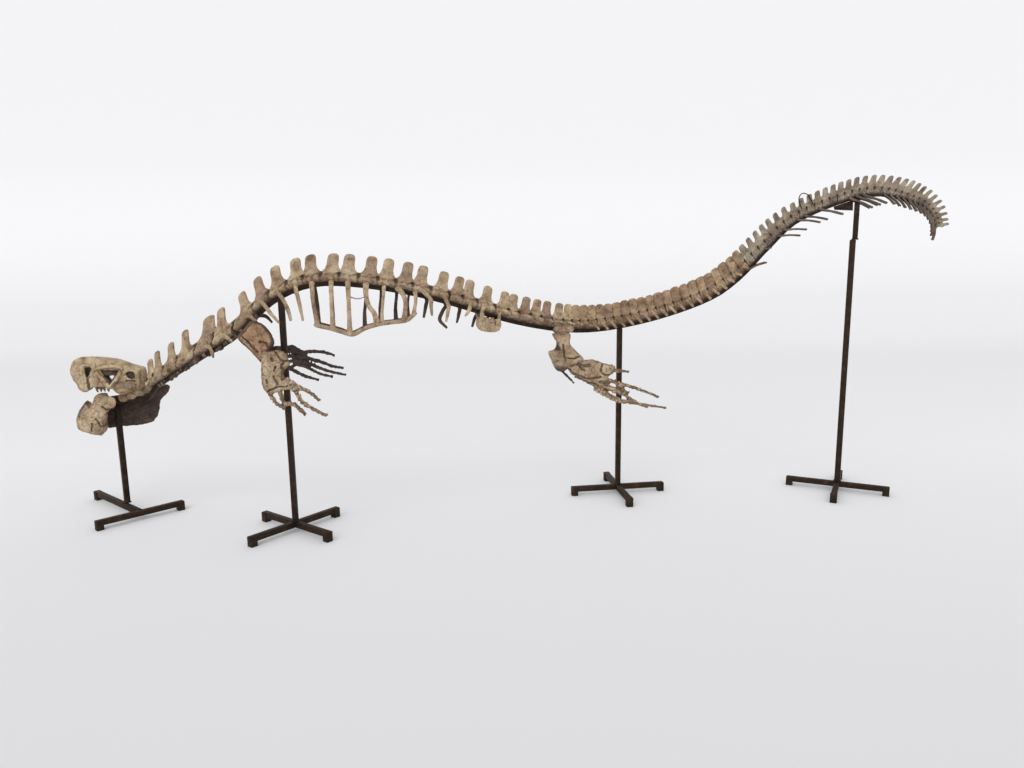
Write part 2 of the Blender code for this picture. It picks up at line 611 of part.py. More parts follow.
def build_column(line, name, places, first, last, material, extras):
    """Vertebrae first to last - 1 as one body, with blades, side processes and what extras adds."""
    rings = throat_rings(line) if first == 0 else []
    start = COLUMN_START if first == 0 else (places[first - 1] + places[first]) / 2 + GAP
    ends = [(places[k] + places[k + 1]) / 2 if k + 1 < len(places) else line.length - 0.004
            for k in range(first, last)]
    rings.append(body_ring(line, start, 1.0))
    spare = len(rings) - 1
    for k, end in zip(range(first, last), ends):
        centre = places[k]
        half = 0.5 * blade_width(places, k)
        rings.append(body_ring(line, centre - half, WAIST))
        rings.append(body_ring(line, centre + half, WAIST))
        rings.append(body_ring(line, end - (GAP if k + 1 == last else 0.0), 1.0))
    bm = bmesh.new()
    spans = loft(bm, rings)
    bmesh.ops.recalc_face_normals(bm, faces=bm.faces)
    for k in range(first, last):
        quads = spans[spare + 3 * (k - first) + 1]
        s = places[k]
        width = blade_width(places, k)
        centres, sizes = spine_sections(line, s, width)
        grow(bm, quads[RIDGE], centres, orient_sizes(quads[RIDGE], line, s, sizes))
        for side, upper, lower in ((1.0, UPPER_RIGHT, LOWER_RIGHT), (-1.0, UPPER_LEFT, LOWER_LEFT)):
            path = extras(k, s, side)
            if path:
                kind, centres, sizes = path
                face = quads[upper] if kind == "rib" else quads[lower]
                grow(bm, face, centres, orient_sizes(face, line, s, sizes))
                continue
            reach = profile(PROCESS_LENGTH, s)
            if reach > SHORTEST_PROCESS:
                half = profile(BODY_HALF_WIDTH, s)
                tip = line.place(s, side * (half + reach), profile(PROCESS_RISE, s), PROCESS_SWEEP)
                size = ((width * PROCESS_TAPER, PROCESS_THICKNESS),)
                grow(bm, quads[upper], [tip], orient_sizes(quads[upper], line, s, size))
    return make_object(name, bm, material)


def orient_sizes(face, line, s, sizes):
    """Sizes are given as (along the backbone, across it); a face's first edge may run either way."""
    _, along, _, _ = line.frame(s)
    edge = (face.verts[1].co - face.verts[0].co).normalized()
    if abs(edge.dot(along)) > 0.7:
        return sizes
    return [(b, a) for a, b in sizes]


def head_frame(line):
    """Matrix from the head's (forward, left, up) to the world."""
    forward = Vector((math.cos(HEAD_TURN), math.sin(HEAD_TURN), 0.0))
    left = UP.cross(forward)
    turn = Matrix((forward, left, UP)).transposed().to_4x4()
    return Matrix.Translation(design_place(*HEAD_JOINT)) @ turn @ Matrix.Rotation(HEAD_ROLL, 4, "X")


def build_skull(line, material):
    head = head_frame(line)

    def place(a, h, side):
        return head @ Vector((a, side, h))

    def limits(a, h):
        half = profile(SKULL_HALF_WIDTH, a)
        return half * (1.0 - SKULL_ROOF_NARROWING * max(h, 0.0) / SKULL_ROOF_HEIGHT)

    bm = bmesh.new()
    pillow(bm, SKULL, place, limits, rounding=0.45, inset=0.86)
    skull = make_object("skull", bm, material)

    bm = bmesh.new()
    for side in (1.0, -1.0):
        for a in TEETH:
            half = profile(SKULL_HALF_WIDTH, a) * TOOTH_ROW
            top = head @ Vector((a, side * half, TOOTH_ROOT))
            tip = head @ Vector((a - TOOTH_RAKE, side * half, TOOTH_LINE - TOOTH_LENGTH))
            rod(bm, [top, tip], TOOTH_RADII, sides=4)
    combine(skull, make_tool("teeth", bm, material), "UNION")

    bm = bmesh.new()
    for side in (1.0, -1.0):
        for outline in (ORBIT, NOSTRIL, LORE_SLOT, TEMPORAL_WINDOW, CHEEK_HOLLOW):
            a = sum(p[0] for p in outline) / len(outline)
            h = sum(p[1] for p in outline) / len(outline)
            depth = limits(a, h) - POCKET_DEPTH
            ring = [[head @ Vector((p[0], side * y, p[1])) for p in outline] for y in (depth, BEYOND_SKULL)]
            loft(bm, ring)
    bmesh.ops.recalc_face_normals(bm, faces=bm.faces)
    combine(skull, make_tool("skull_pockets", bm, material), "DIFFERENCE")

    bm = bmesh.new()
    skew = math.tan(SIGHT_TURN)
    rings = [
        [head @ Vector((a + y * skew, y, h + SIGHT_SLOPE * y)) for a, h in SIGHT_HOLE]
        for y in (-BEYOND_SKULL, BEYOND_SKULL)
    ]
    loft(bm, rings)
    bmesh.ops.recalc_face_normals(bm, faces=bm.faces)
    combine(skull, make_tool("orbit_sight_hole", bm, material), "DIFFERENCE")
    return skull


def build_jaw(line, name, outline, span, material):
    """Part of the lower jaw between two side limits. span(a) gives them."""
    head = head_frame(line)

    def place(a, h, side):
        low, high = span(a)
        return head @ Vector((a, (low + high) / 2 + side * (high - low) / 2, h))

    bm = bmesh.new()
    pillow(bm, outline, place, lambda a, h: 1.0, rounding=0.3, inset=0.90)
    return make_object(name, bm, material)


def jaw_left_span(a):
    """The left half of the jaw bears the whole of its blunt front end."""
    part = min(max((a - JAW_TAPER[0]) / (JAW_TAPER[1] - JAW_TAPER[0]), 0.0), 1.0)
    high = JAW_SPREAD - (JAW_SPREAD - JAW_TIP_HALF_WIDTH) * part
    if a < JAW_FRONT:
        return JAW_SPREAD - JAW_THICKNESS, high
    return -JAW_RIGHT_INNER + GAP + (JAW_RIGHT_INNER - JAW_TIP_HALF_WIDTH) * part, high


def jaw_right_span(a):
    return -JAW_RIGHT_INNER - JAW_THICKNESS, -JAW_RIGHT_INNER


def free_rib(line, k, s, side):
    """A rib that ends free: out from its vertebra, then down its path."""
    path = (FREE_RIBS_RIGHT if side > 0 else FREE_RIBS_LEFT)[k]
    bow = profile(FREE_RIB_BOW, k)
    centres = [line.place(s, side * (profile(BODY_HALF_WIDTH, s) + RIB_HEAD_OUT), 0.0, RIB_HEAD_BACK)]
    centres += [line.hang(along, side * bow, drop) for along, drop in path]
    width, depth = FREE_RIB_SIZE
    sizes = [(width, depth)] * len(path) + [(width * FREE_RIB_TIP, depth * FREE_RIB_TIP)]
    return "rib", centres, sizes


def chevron(line, k, s, side):
    """One leg of a haemal arch, passing beside the bar and closing below it."""
    root_height = -profile(BODY_DEPTH, s) * CHEVRON_ROOT_LEVEL
    length = BROKEN_CHEVRONS.get(k, profile(CHEVRON_LENGTH, s))
    droop = math.radians(profile(CHEVRON_DROOP, s))
    tip_height = root_height - length * math.sin(droop)
    apart = profile(BAR_HALF_WIDTH, s) + CHEVRON_CLEARANCE
    beside_post = POST_SPAN[0] < s < POST_SPAN[1]
    if beside_post:
        apart += POST_DETOUR
    beside_gusset = s < GUSSET[0][0] < s + length
    below_bar = tip_height < bar_bottom(s) - CHEVRON_CLOSING_DEPTH
    tip_side = CHEVRON_CLOSED if below_bar and not beside_gusset and not beside_post else apart
    centres = [
        line.place(s, side * apart, root_height - CHEVRON_SIZE[1], CHEVRON_SIZE[0]),
        line.place(s, side * tip_side, tip_height, CHEVRON_SIZE[0] + length * math.cos(droop)),
    ]
    scale = max(length / CHEVRON_FULL_LENGTH, SLIMMEST_CHEVRON)
    sizes = [
        (CHEVRON_SIZE[0] * part * scale, CHEVRON_SIZE[1] * part * scale)
        for part in (1.0, CHEVRON_TAPER)
    ]
    return "chevron", centres, sizes


def column_extras(line):
    def extras(k, s, side):
        if k in (FREE_RIBS_RIGHT if side > 0 else FREE_RIBS_LEFT):
            return free_rib(line, k, s, side)
        if k >= FIRST_CHEVRON and k not in NO_CHEVRON:
            return chevron(line, k, s, side)
        return None

    return extras


def build_rib_cage(line, name, side, bar, ribs, material):
    """The costal bar of one side, with its ribs drawn up out of its top."""
    thick, tall = COSTAL_BAR_SIZE
    first, last = bar[0][0], bar[-1][0]
    marks = [first, last]
    feet = {}
    for foot, width, path in ribs:
        start = round(foot - width / 2, 5)
        marks += [start, foot + width / 2]
        feet[start] = (foot, width, path)
    marks += [s for s, _ in bar if all(abs(s - foot) > width / 2 + 0.008 for foot, width, _ in ribs)]
    marks = sorted({round(m, 5) for m in marks if first <= m <= last})
    rings = []
    for s in marks:
        drop = profile(bar, s)
        rings.append([
            line.hang(s, side * COSTAL_BAR_SIDE + a * thick, drop - b * tall)
            for a, b in ((-0.5, -0.5), (0.5, -0.5), (0.5, 0.5), (-0.5, 0.5))
        ])
    bm = bmesh.new()
    spans = loft(bm, rings)
    bmesh.ops.recalc_face_normals(bm, faces=bm.faces)
    for k, s in enumerate(marks[:-1]):
        if s not in feet:
            continue
        foot, width, path = feet[s]
        foot_drop = profile(bar, foot)
        centres = []
        for along, drop in path:
            part = (foot_drop - drop) / foot_drop
            reach = COSTAL_BAR_SIDE + (RIB_TOP_SIDE - COSTAL_BAR_SIDE) * part
            reach += RIB_BOW * math.sin(math.pi * part)
            centres.append(line.hang(along, side * reach, drop))
        face = spans[k][2]
        grow(bm, face, centres, orient_sizes(face, line, foot, [(width, RIB_THICKNESS)] * len(path)))
    return make_object(name, bm, material)


def design_place(x, y, z=0.0):
    return Vector((x - PLAN_MIDDLE[0], y - PLAN_MIDDLE[1], z))


def limb_frame(joint, lean=0.0):
    """Limb plane: x towards the tail, z up. A positive lean carries the lower end to the right (+Y)."""
    return Matrix.Translation(design_place(*joint)) @ Matrix.Rotation(math.radians(lean), 4, "X")


def build_plate(name, outline, frame, half_thickness, material, digits=(), thickness=1.0):
    """A flat bone or a row of them, with the digits that go out from it."""
    bm = bmesh.new()
    pillow(bm, outline, lambda a, h, side: frame @ Vector((a, side, h)),
           lambda a, h: half_thickness, rounding=0.5, inset=0.92)
    bmesh.ops.recalc_face_normals(bm, faces=bm.faces)
    plate = make_object(name, bm, material)
    for k, path in enumerate(digits):
        bm = bmesh.new()
        across = (k % 2 - 0.5) * half_thickness * DIGIT_STAGGER
        centres = [frame @ Vector((x, across, z)) for x, z in path]
        last = len(path) - 1
        radii = [DIGIT_RADIUS * thickness * (1.0 - DIGIT_TAPER * i / last) for i in range(len(path))]
        rod(bm, centres, radii)
        combine(plate, make_tool(f"{name}_digit_{k}", bm, material), "UNION")
    return plate


def build_loin_bone(line, material):
    bm = bmesh.new()
    pillow(bm, LOIN_BONE, lambda s, drop, side: line.hang(s, side, drop),
           lambda s, drop: LOIN_BONE_HALF_WIDTH, rounding=0.6, inset=0.90)
    return make_object("loin_bone", bm, material)


def bar_bottom(s):
    return -profile(BODY_DEPTH, s) - BAR_DROP - profile(BAR_DEPTH, s)


def build_bar(line, material):
    """Square bar from the head post, under the vertebrae, to the tip of the tail."""
    head = head_frame(line)
    top = design_place(*HEAD_POST[:2], HEAD_POST_TOP) + UP * GAP
    path = [top, top + UP * HEAD_ROD_START]
    path += [head @ Vector((a, side, h)) for a, side, h in HEAD_ROD]
    halves = [(profile(BAR_HALF_WIDTH, 0.0), profile(BAR_DEPTH, 0.0) / 2)] * len(path)
    first, last = BAR_START, line.length - BAR_END_SETBACK
    for k in range(BAR_STEPS + 1):
        s = first + (last - first) * k / BAR_STEPS
        deep = profile(BAR_DEPTH, s)
        path.append(line.place(s, 0.0, bar_bottom(s) + deep / 2))
        halves.append((profile(BAR_HALF_WIDTH, s), deep / 2))
    rings = []
    for k, (point, (wide, deep)) in enumerate(zip(path, halves)):
        way = (path[min(k + 1, len(path) - 1)] - path[max(k - 1, 0)]).normalized()
        across = UP.cross(way) if k > 1 else UP.cross(path[2] - path[1])
        across.normalize()
        over = way.cross(across)
        rings.append([point + across * wide * a + over * deep * b
                      for a, b in ((-1, -1), (1, -1), (1, 1), (-1, 1))])
    bm = bmesh.new()
    loft(bm, rings)
    bmesh.ops.recalc_face_normals(bm, faces=bm.faces)
    return make_object("stand_backbone_bar", bm, material)


def level_under_bar(line, x):
    """Height of the bar's underside where it has this x."""
    low, high = 0.0, line.length
    while high - low > 1e-5:
        middle = (low + high) / 2
        if line.place(middle, 0.0, bar_bottom(middle)).x < x:
            low = middle
        else:
            high = middle
    return line.place(low, 0.0, bar_bottom(low)).z - POST_CLEARANCE


def build_post(name, post, side, bottom, level, material):
    """Upright square tube. level(x) is the height of its top there."""
    middle = design_place(*post[:2])
    turn = Matrix.Rotation(math.radians(post[2]), 3, "Z")
    half = side / 2
    plan = [middle + turn @ Vector((a, b, 0.0)) for a, b in
            ((-half, -half), (half, -half), (half, half), (-half, half))]
    rings = [[p + UP * bottom for p in plan], [p + UP * level(p.x) for p in plan]]
    bm = bmesh.new()
    loft(bm, rings)
    return make_object(name, bm, material)


def build_cross(name, cross, material):
    """Floor cross: square bars on one level, with a block foot under each end."""
    plan, arms = cross
    middle = design_place(*plan)
    level = UP * (FOOT_HEIGHT - FOOT_BAR_SIDE / 2)
    blocks = []
    for angle, behind, ahead in arms:
        turn = math.radians(angle)
        way = Vector((math.cos(turn), math.sin(turn), 0.0))
        centre = middle + level + way * (ahead - behind) / 2
        blocks.append((centre, (behind + ahead, FOOT_BAR_SIDE, FOOT_BAR_SIDE), turn))
        for reach in (-behind, ahead):
            if reach:
                foot = middle + way * (reach - math.copysign(FOOT_SIDE / 2 - 0.002, reach))
                size = (FOOT_SIDE, FOOT_SIDE, FOOT_HEIGHT - 0.002)
                blocks.append((foot + UP * size[2] / 2, size, turn))
    obj = None
    for k, (centre, size, turn) in enumerate(blocks):
        bm = bmesh.new()
        box(bm, centre, size, turn)
        if obj is None:
            obj = make_object(name, bm, material)
        else:
            combine(obj, make_tool(f"{name}_block_{k}", bm, material), "UNION")
    return obj


def build_gusset(line, material):
    half = GUSSET_THICKNESS / 2
    bm = bmesh.new()
    loft(bm, [
        [line.place(s, side, bar_bottom(s)) - UP * below for s, below in GUSSET]
        for side in (-half, half)
    ])
    bmesh.ops.recalc_face_normals(bm, faces=bm.faces)
    return make_object("stand_tail_gusset", bm, material)


def build_hoop(line, material):
    bm = bmesh.new()
    rod(bm, [line.place(s, HOOP_SIDE, height) for s, height in HOOP], [HOOP_RADIUS] * len(HOOP))
    return make_object("stand_tail_hoop", bm, material)


clear_scene()
bone = make_material("fossil bone", BONE, 0.75)
tail_bone = make_material("grey-brown tail bone", TAIL_BONE, 0.78)
dark_bone = make_material("dark fossil bone", DARK_BONE, 0.70)
shoulder_bone = make_material("ochre fossil bone", SHOULDER_BONE, 0.75)
steel = make_material("rusty dark steel", RUSTY_STEEL, 0.60, 0.6)

backbone = Backbone(BACKBONE)
vertebrae, starts = stations()
extras = column_extras(backbone)
regions = (
    ("neck", 0, starts[2], bone),
    ("trunk_chest", starts[2], starts[3], bone),
    ("trunk_loin", starts[3], starts[4], bone),
    ("tail_root", starts[4], starts[4] + 11, tail_bone),
    ("tail_middle", starts[4] + 11, starts[5], tail_bone),
    ("tail_rise", starts[5], starts[5] + 13, tail_bone),
    ("tail_tip", starts[5] + 13, len(vertebrae), tail_bone),
)
for name, first, last, material in regions:
    build_column(backbone, name, vertebrae, first, last, material, extras)

build_skull(backbone, bone)
build_jaw(backbone, "jaw_left", JAW_LEFT, jaw_left_span, bone)
build_jaw(backbone, "jaw_right", JAW_RIGHT, jaw_right_span, dark_bone)
build_rib_cage(backbone, "rib_cage_left", -1.0, COSTAL_BAR_LEFT, CAGE_RIBS_LEFT, bone)
build_rib_cage(backbone, "rib_cage_right", 1.0, COSTAL_BAR_RIGHT, CAGE_RIBS_RIGHT, dark_bone)
build_loin_bone(backbone, bone)

fore_left = limb_frame(FORE_JOINT_LEFT, -FORE_LEAN)
fore_right = limb_frame(FORE_JOINT_RIGHT, FORE_LEAN)
hip_left = limb_frame(HIP_JOINT_LEFT, -HIND_LEAN)
hip_right = limb_frame(HIP_JOINT_RIGHT, HIND_LEAN)
build_plate("shoulder_left", SHOULDER, limb_frame(SHOULDER_LEFT), 0.018, shoulder_bone)
build_plate("shoulder_right", SHOULDER, limb_frame(SHOULDER_RIGHT), 0.018, dark_bone)
build_plate("fore_paddle_left", FORE_PLATE, fore_left, 0.016, bone, FORE_DIGITS_LEFT, 1.35)
build_plate("fore_paddle_right", FORE_PLATE_RIGHT, fore_right, 0.016, dark_bone, FORE_DIGITS_RIGHT, 0.9)
build_plate("pelvis_left", ILIUM, hip_left, 0.010, bone)
build_plate("pelvis_right", ILIUM, hip_right, 0.010, dark_bone)
build_plate("femur_left", FEMUR, hip_left, 0.020, bone)
build_plate("femur_right", FEMUR_RIGHT, hip_right, 0.020, bone)
build_plate("hind_paddle_left", HIND_PLATE, hip_left, 0.014, bone, HIND_DIGITS_LEFT, 1.3)
build_plate("hind_paddle_right", HIND_PLATE_RIGHT, hip_right, 0.012, dark_bone, HIND_DIGITS_RIGHT, 0.7)

build_bar(backbone, steel)
floor_level = FOOT_HEIGHT + GAP
build_cross("stand_head_cross", HEAD_CROSS, steel)
build_cross("stand_chest_cross", CHEST_CROSS, steel)
build_cross("stand_hip_cross", HIP_CROSS, steel)
build_cross("stand_tail_cross", TAIL_CROSS, steel)
build_post("stand_head_post", HEAD_POST, POST_SIDE, floor_level, lambda x: HEAD_POST_TOP, steel)
build_post("stand_tail_post", TAIL_POST, TAIL_POST_SIDE, floor_level, lambda x: TAIL_POST_TOP, steel)
for name, post, bottom in (
    ("stand_chest_post", CHEST_POST, floor_level),
    ("stand_hip_post", HIP_POST, floor_level),
    ("stand_tail_upper_post", TAIL_UPPER_POST, TAIL_POST_TOP + GAP),
):
    build_post(name, post, POST_SIDE, bottom, lambda x: level_under_bar(backbone, x), steel)
build_gusset(backbone, steel)
build_hoop(backbone, steel)
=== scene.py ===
import math
import random
from bisect import bisect

import bpy
from mathutils import Matrix, Vector, noise
from mathutils.bvhtree import BVHTree
from mathutils.kdtree import KDTree


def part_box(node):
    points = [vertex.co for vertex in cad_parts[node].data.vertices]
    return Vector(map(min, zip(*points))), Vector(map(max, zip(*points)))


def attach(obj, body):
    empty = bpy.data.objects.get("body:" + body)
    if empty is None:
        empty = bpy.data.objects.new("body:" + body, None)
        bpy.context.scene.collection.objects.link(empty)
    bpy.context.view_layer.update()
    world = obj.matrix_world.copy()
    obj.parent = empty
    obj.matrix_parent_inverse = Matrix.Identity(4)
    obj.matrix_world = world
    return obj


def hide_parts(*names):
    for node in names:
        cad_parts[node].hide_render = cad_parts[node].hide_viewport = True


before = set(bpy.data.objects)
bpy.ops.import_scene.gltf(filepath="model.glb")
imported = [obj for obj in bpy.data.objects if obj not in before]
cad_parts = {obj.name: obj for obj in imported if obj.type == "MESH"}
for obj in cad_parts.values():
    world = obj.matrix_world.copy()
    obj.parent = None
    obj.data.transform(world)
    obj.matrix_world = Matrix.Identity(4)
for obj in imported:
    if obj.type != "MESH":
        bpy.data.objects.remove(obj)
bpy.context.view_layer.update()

# metres, Z up, head towards -X, the animal's left side towards -Y
seed = 81
dice = random.Random(seed)
noise.seed_set(seed)
upward = Vector((0.0, 0.0, 1.0))
bothSides = (("left", -1.0), ("right", 1.0))


def mm(table):
    # a table of millimetres, in metres
    return tuple(mm(value) for value in table) if isinstance(table, tuple) else table / 1000


def toLinear(hexColour):
    # sRGB hex to the linear colour that the shaders want
    channels = [int(hexColour[i:i + 2], 16) / 255 for i in (1, 3, 5)]
    return (*[c / 12.92 if c <= 0.04045 else ((c + 0.055) / 1.055) ** 2.4 for c in channels], 1.0)


def valueAt(table, s):
    # straight between the rows of (distance, value)
    if s <= table[0][0]:
        return table[0][1]
    for (s0, v0), (s1, v1) in zip(table, table[1:]):
        if s <= s1:
            return v0 + (v1 - v0) * (s - s0) / (s1 - s0)
    return table[-1][1]


def smoothStep(low, high, x):
    t = min(max((x - low) / (high - low), 0.0), 1.0)
    return t * t * (3 - 2 * t)


def nearestOn(a, b, spot):
    span = b - a
    return a.lerp(b, min(max((spot - a).dot(span) / max(span.length_squared, 1e-9), 0.0), 1.0))


def throughPoints(points, steps=16):
    # smooth curve through the points, as many short steps
    pts = [Vector(p) for p in points]
    pts = [2 * pts[0] - pts[1], *pts, 2 * pts[-1] - pts[-2]]
    route = []
    for p0, p1, p2, p3 in zip(pts, pts[1:], pts[2:], pts[3:]):
        for k in range(steps):
            t = k / steps
            route.append(0.5 * (2 * p1 + (p2 - p0) * t + (2 * p0 - 5 * p1 + 4 * p2 - p3) * t * t
                                + (3 * p1 - p0 - 3 * p2 + p3) * t * t * t))
    route.append(pts[-2])
    return route


def lengthsAlong(route, start=0.0):
    lengths = [start]
    for a, b in zip(route, route[1:]):
        lengths.append(lengths[-1] + (b - a).length)
    return lengths


def placeAlong(route, lengths, distance):
    last = len(lengths) - 2
    k = next((i for i in range(last) if lengths[i + 1] >= distance), last)
    return route[k].lerp(route[k + 1], (distance - lengths[k]) / (lengths[k + 1] - lengths[k]))


def selectOnly(*objects):
    if bpy.context.object and bpy.context.object.mode != "OBJECT":
        objectMode()
    bpy.ops.object.select_all(action="DESELECT")
    for obj in objects:
        obj.select_set(True)
    bpy.context.view_layer.objects.active = objects[0]


def objectMode():
    bpy.ops.object.mode_set(mode="OBJECT")


def editAll(obj, kind="FACE"):
    # into edit mode, with the whole mesh selected
    selectOnly(obj)
    bpy.ops.object.mode_set(mode="EDIT")
    bpy.ops.mesh.select_mode(type=kind)
    bpy.ops.mesh.select_all(action="SELECT")


def pickFaces(obj, wanted):
    # in edit mode: selects the faces that wanted(centre, normal) says
    bpy.ops.mesh.select_all(action="DESELECT")
    objectMode()
    for face in obj.data.polygons:
        face.select = bool(wanted(face.center, face.normal))
    bpy.ops.object.mode_set(mode="EDIT")


def drawOut(x=0.0, y=0.0, z=0.0):
    bpy.ops.mesh.extrude_region_move(TRANSFORM_OT_translate={"value": (x, y, z)})


def pointOutwards():
    # in edit mode: every face outwards
    bpy.ops.mesh.select_all(action="SELECT")
    bpy.ops.mesh.normals_make_consistent(inside=False)


def faceOutwards(obj):
    editAll(obj)
    pointOutwards()
    objectMode()


def primitive(add, **settings):
    # a new primitive, alone in the selection, with its place, turn and size in its mesh
    bpy.ops.object.select_all(action="DESELECT")
    add(**settings)
    obj = bpy.context.object
    selectOnly(obj)
    bpy.ops.object.transform_apply(location=True, rotation=True, scale=True)
    return obj


def plate(corners, level):
    # a flat face with the given corners, in edit mode
    obj = primitive(bpy.ops.mesh.primitive_circle_add, vertices=len(corners), radius=1.0, fill_type="NGON")
    for v, (x, y) in zip(obj.data.vertices, corners):
        v.co = (x, y, level)
    editAll(obj)
    return obj


def reshape(obj, place):
    # moves every corner to place(x, y, z)
    for v in obj.data.vertices:
        v.co = place(*v.co)


def joined(name, parts):
    selectOnly(*parts)
    if len(parts) > 1:
        bpy.ops.object.join()
    whole = bpy.context.view_layer.objects.active
    whole.name = name
    return whole


def copyOf(obj, name):
    twin = obj.copy()
    twin.data = obj.data.copy()
    twin.name = name
    bpy.context.scene.collection.objects.link(twin)
    return twin


def dropObject(obj):
    mesh = obj.data
    bpy.data.objects.remove(obj, do_unlink=True)
    if mesh.users == 0:
        bpy.data.meshes.remove(mesh)


def modify(obj, name, kind, **settings):
    modifier = obj.modifiers.new(name, kind)
    for key, value in settings.items():
        setattr(modifier, key, value)


def applyAll(obj):
    selectOnly(obj)
    for modifier in list(obj.modifiers):
        bpy.ops.object.modifier_apply(modifier=modifier.name)


# the backbone's course, as the solids have it

backbone = {
    "course": mm((
        (-2155, 40, 750), (-1955, -40, 866), (-1704, -150, 1006), (-1488, -239, 1121), (-1258, -304, 1309),
        (-1059, -325, 1398), (-864, -312, 1413), (-570, -247, 1369), (-292, -147, 1293), (88, 23, 1169),
        (465, 196, 1099), (847, 313, 1135), (1223, 347, 1248), (1435, 344, 1378), (1610, 337, 1552),
        (1781, 325, 1712), (2064, 295, 1831), (2259, 264, 1859), (2451, 225, 1808), (2546, 202, 1736),
        (2584, 192, 1643),
    )),
    # distances count from a little way behind the first point
    "courseStart": -0.0295, "start": 0.056, "axisSpine": 0.074,
    # first place, how many, first and last spacing
    "regions": ((0.151, 5, 0.118, 0.150), (0.926, 12, 0.1025, 0.1025), (2.150, 10, 0.0925, 0.068),
                (2.932, 21, 0.0575, 0.0575), (4.138, 32, 0.055, 0.027)),
    "crowding": {1: -0.014, 2: -0.007, 3: -0.003, 4: 0.061, 5: 0.031, 7: 0.027, 8: 0.034, 9: 0.042,
                 10: 0.015, 11: 0.019, 13: 0.014, 16: -0.020, 19: -0.028, 21: 0.027, 24: -0.006,
                 25: -0.012, 27: -0.007},
    "spineHeight": mm((
        (70, 128), (140, 148), (260, 144), (390, 159), (590, 155), (750, 160), (930, 126), (1200, 134),
        (1900, 140), (2400, 124), (2900, 120), (3900, 114), (4300, 114), (4500, 94), (4850, 100),
        (5060, 102), (5150, 105), (5420, 64),
    )),
    "spineWidth": mm((
        (100, 44), (400, 56), (540, 60), (590, 92), (640, 60), (950, 59), (1500, 58), (2000, 55),
        (2600, 51), (4000, 52), (4200, 33), (5000, 31), (5420, 17),
    )),
    "spineLean": ((0.07, 28.0), (0.14, 30.0), (0.27, 30.0), (0.40, 30.0), (0.60, 30.0), (0.93, 26.0),
                  (1.30, 15.0), (1.60, 3.0), (2.00, 1.0), (2.40, -6.0), (2.60, 0.0), (3.60, 3.0),
                  (4.20, 15.0), (5.10, 18.0), (5.42, 10.0)),
    "archHeight": mm((
        (0, 44), (150, 50), (300, 60), (620, 62), (800, 48), (1000, 38), (2300, 36), (2900, 32), (3100, 36),
        (4050, 36), (4300, 36), (5000, 34), (5420, 18),
    )),
    # how far down each spine is as wide as the gap to the next: none on the trunk, most of it on the tail
    "spineFused": ((2.85, 0.0), (3.00, 0.34), (3.30, 0.62), (4.05, 0.66), (4.16, 0.36), (4.90, 0.30),
                   (5.00, 0.50), (5.20, 0.34), (5.42, 0.30)),
    "bodyDepth": mm(((0, 15), (2000, 16), (2600, 28), (3900, 30), (4200, 18), (5420, 9))),
    "halfWidth": mm(((0, 30), (1000, 35), (2600, 35), (3900, 30), (4600, 24), (5420, 10))),
    "processReach": mm(((0, 22), (900, 28), (2000, 30), (2700, 55), (3600, 45), (4200, 12))),
    "processDroop": mm(((2970, 0), (3060, 40), (3900, 38), (4200, 6))),
    "bladeFill": 0.90,
}

courseRoute = throughPoints(backbone["course"])
courseAlong = lengthsAlong(courseRoute, backbone["courseStart"])
courseLength = courseAlong[-1]


def onCourse(s):
    return placeAlong(courseRoute, courseAlong, max(s, backbone["courseStart"]))


def courseFrame(s, reach=0.03):
    # point, towards the tail, towards the animal's right, up
    along = (onCourse(min(s + reach, courseLength)) - onCourse(s - reach)).normalized()
    right = upward.cross(along).normalized()
    return onCourse(s), along, right, along.cross(right)


def beside(s, side, height, shift=0.0):
    point, along, right, up = courseFrame(s)
    return point + right * side + up * height + along * shift


def hung(s, side, drop):
    # beside the backbone and plumb below it
    point, _, right, _ = courseFrame(s)
    return point + right * side - upward * drop


def sizeAt(name, s):
    return valueAt(backbone[name], s)


def stations():
    places = [backbone["axisSpine"]]
    starts = [0]
    for s, count, spacing, lastSpacing in backbone["regions"]:
        starts.append(len(places))
        for k in range(count):
            places.append(s)
            s += spacing + (lastSpacing - spacing) * k / (count - 1)
    for k, shift in backbone["crowding"].items():
        places[k] += shift
    return places, starts


vertebrae, regionStarts = stations()
print("backbone:", len(vertebrae), "vertebrae over", round(courseLength, 3), "m")

# the head's own frame: a forward, side to the animal's left, h up
headJoint = {"place": (-2.155, 0.040, 0.826), "turn": 198.0, "roll": 4.0}
headTurn = math.radians(headJoint["turn"])
headForward = Vector((math.cos(headTurn), math.sin(headTurn), 0.0))
headPlace = (Matrix.Translation(headJoint["place"])
             @ Matrix((headForward, upward.cross(headForward), upward)).transposed().to_4x4()
             @ Matrix.Rotation(math.radians(headJoint["roll"]), 4, "X"))


def inHead(a, side, h):
    return headPlace @ Vector((a, side, h))


# how bone shapes are joined and weathered

surface = {
    # texture: size of its pattern, depth of noise
    "bone lumps": (0.030, 2), "weathered pits": (0.007, 3),
    "mosaic": 0.030, "mosaicContrast": 3.2,
    # the level of each texture that leaves the surface where it is
    "lumpRest": 0.55, "pitRest": 0.60, "mosaicRest": 1.0,
    # grooves wander this far, with this many lumps per metre
    "grooveWander": 0.005, "wandersPerMetre": 45.0,
}
lumpTexture, pitTexture = (bpy.data.textures.new(name, "CLOUDS") for name in ("bone lumps", "weathered pits"))
for texture in (lumpTexture, pitTexture):
    texture.noise_scale, texture.noise_depth = surface[texture.name]
mosaicTexture = bpy.data.textures.new("crushed bone mosaic", "VORONOI")
mosaicTexture.noise_scale = surface["mosaic"]
mosaicTexture.noise_intensity = surface["mosaicContrast"]
mosaicTexture.weight_1 = -1.0
mosaicTexture.weight_2 = 1.0


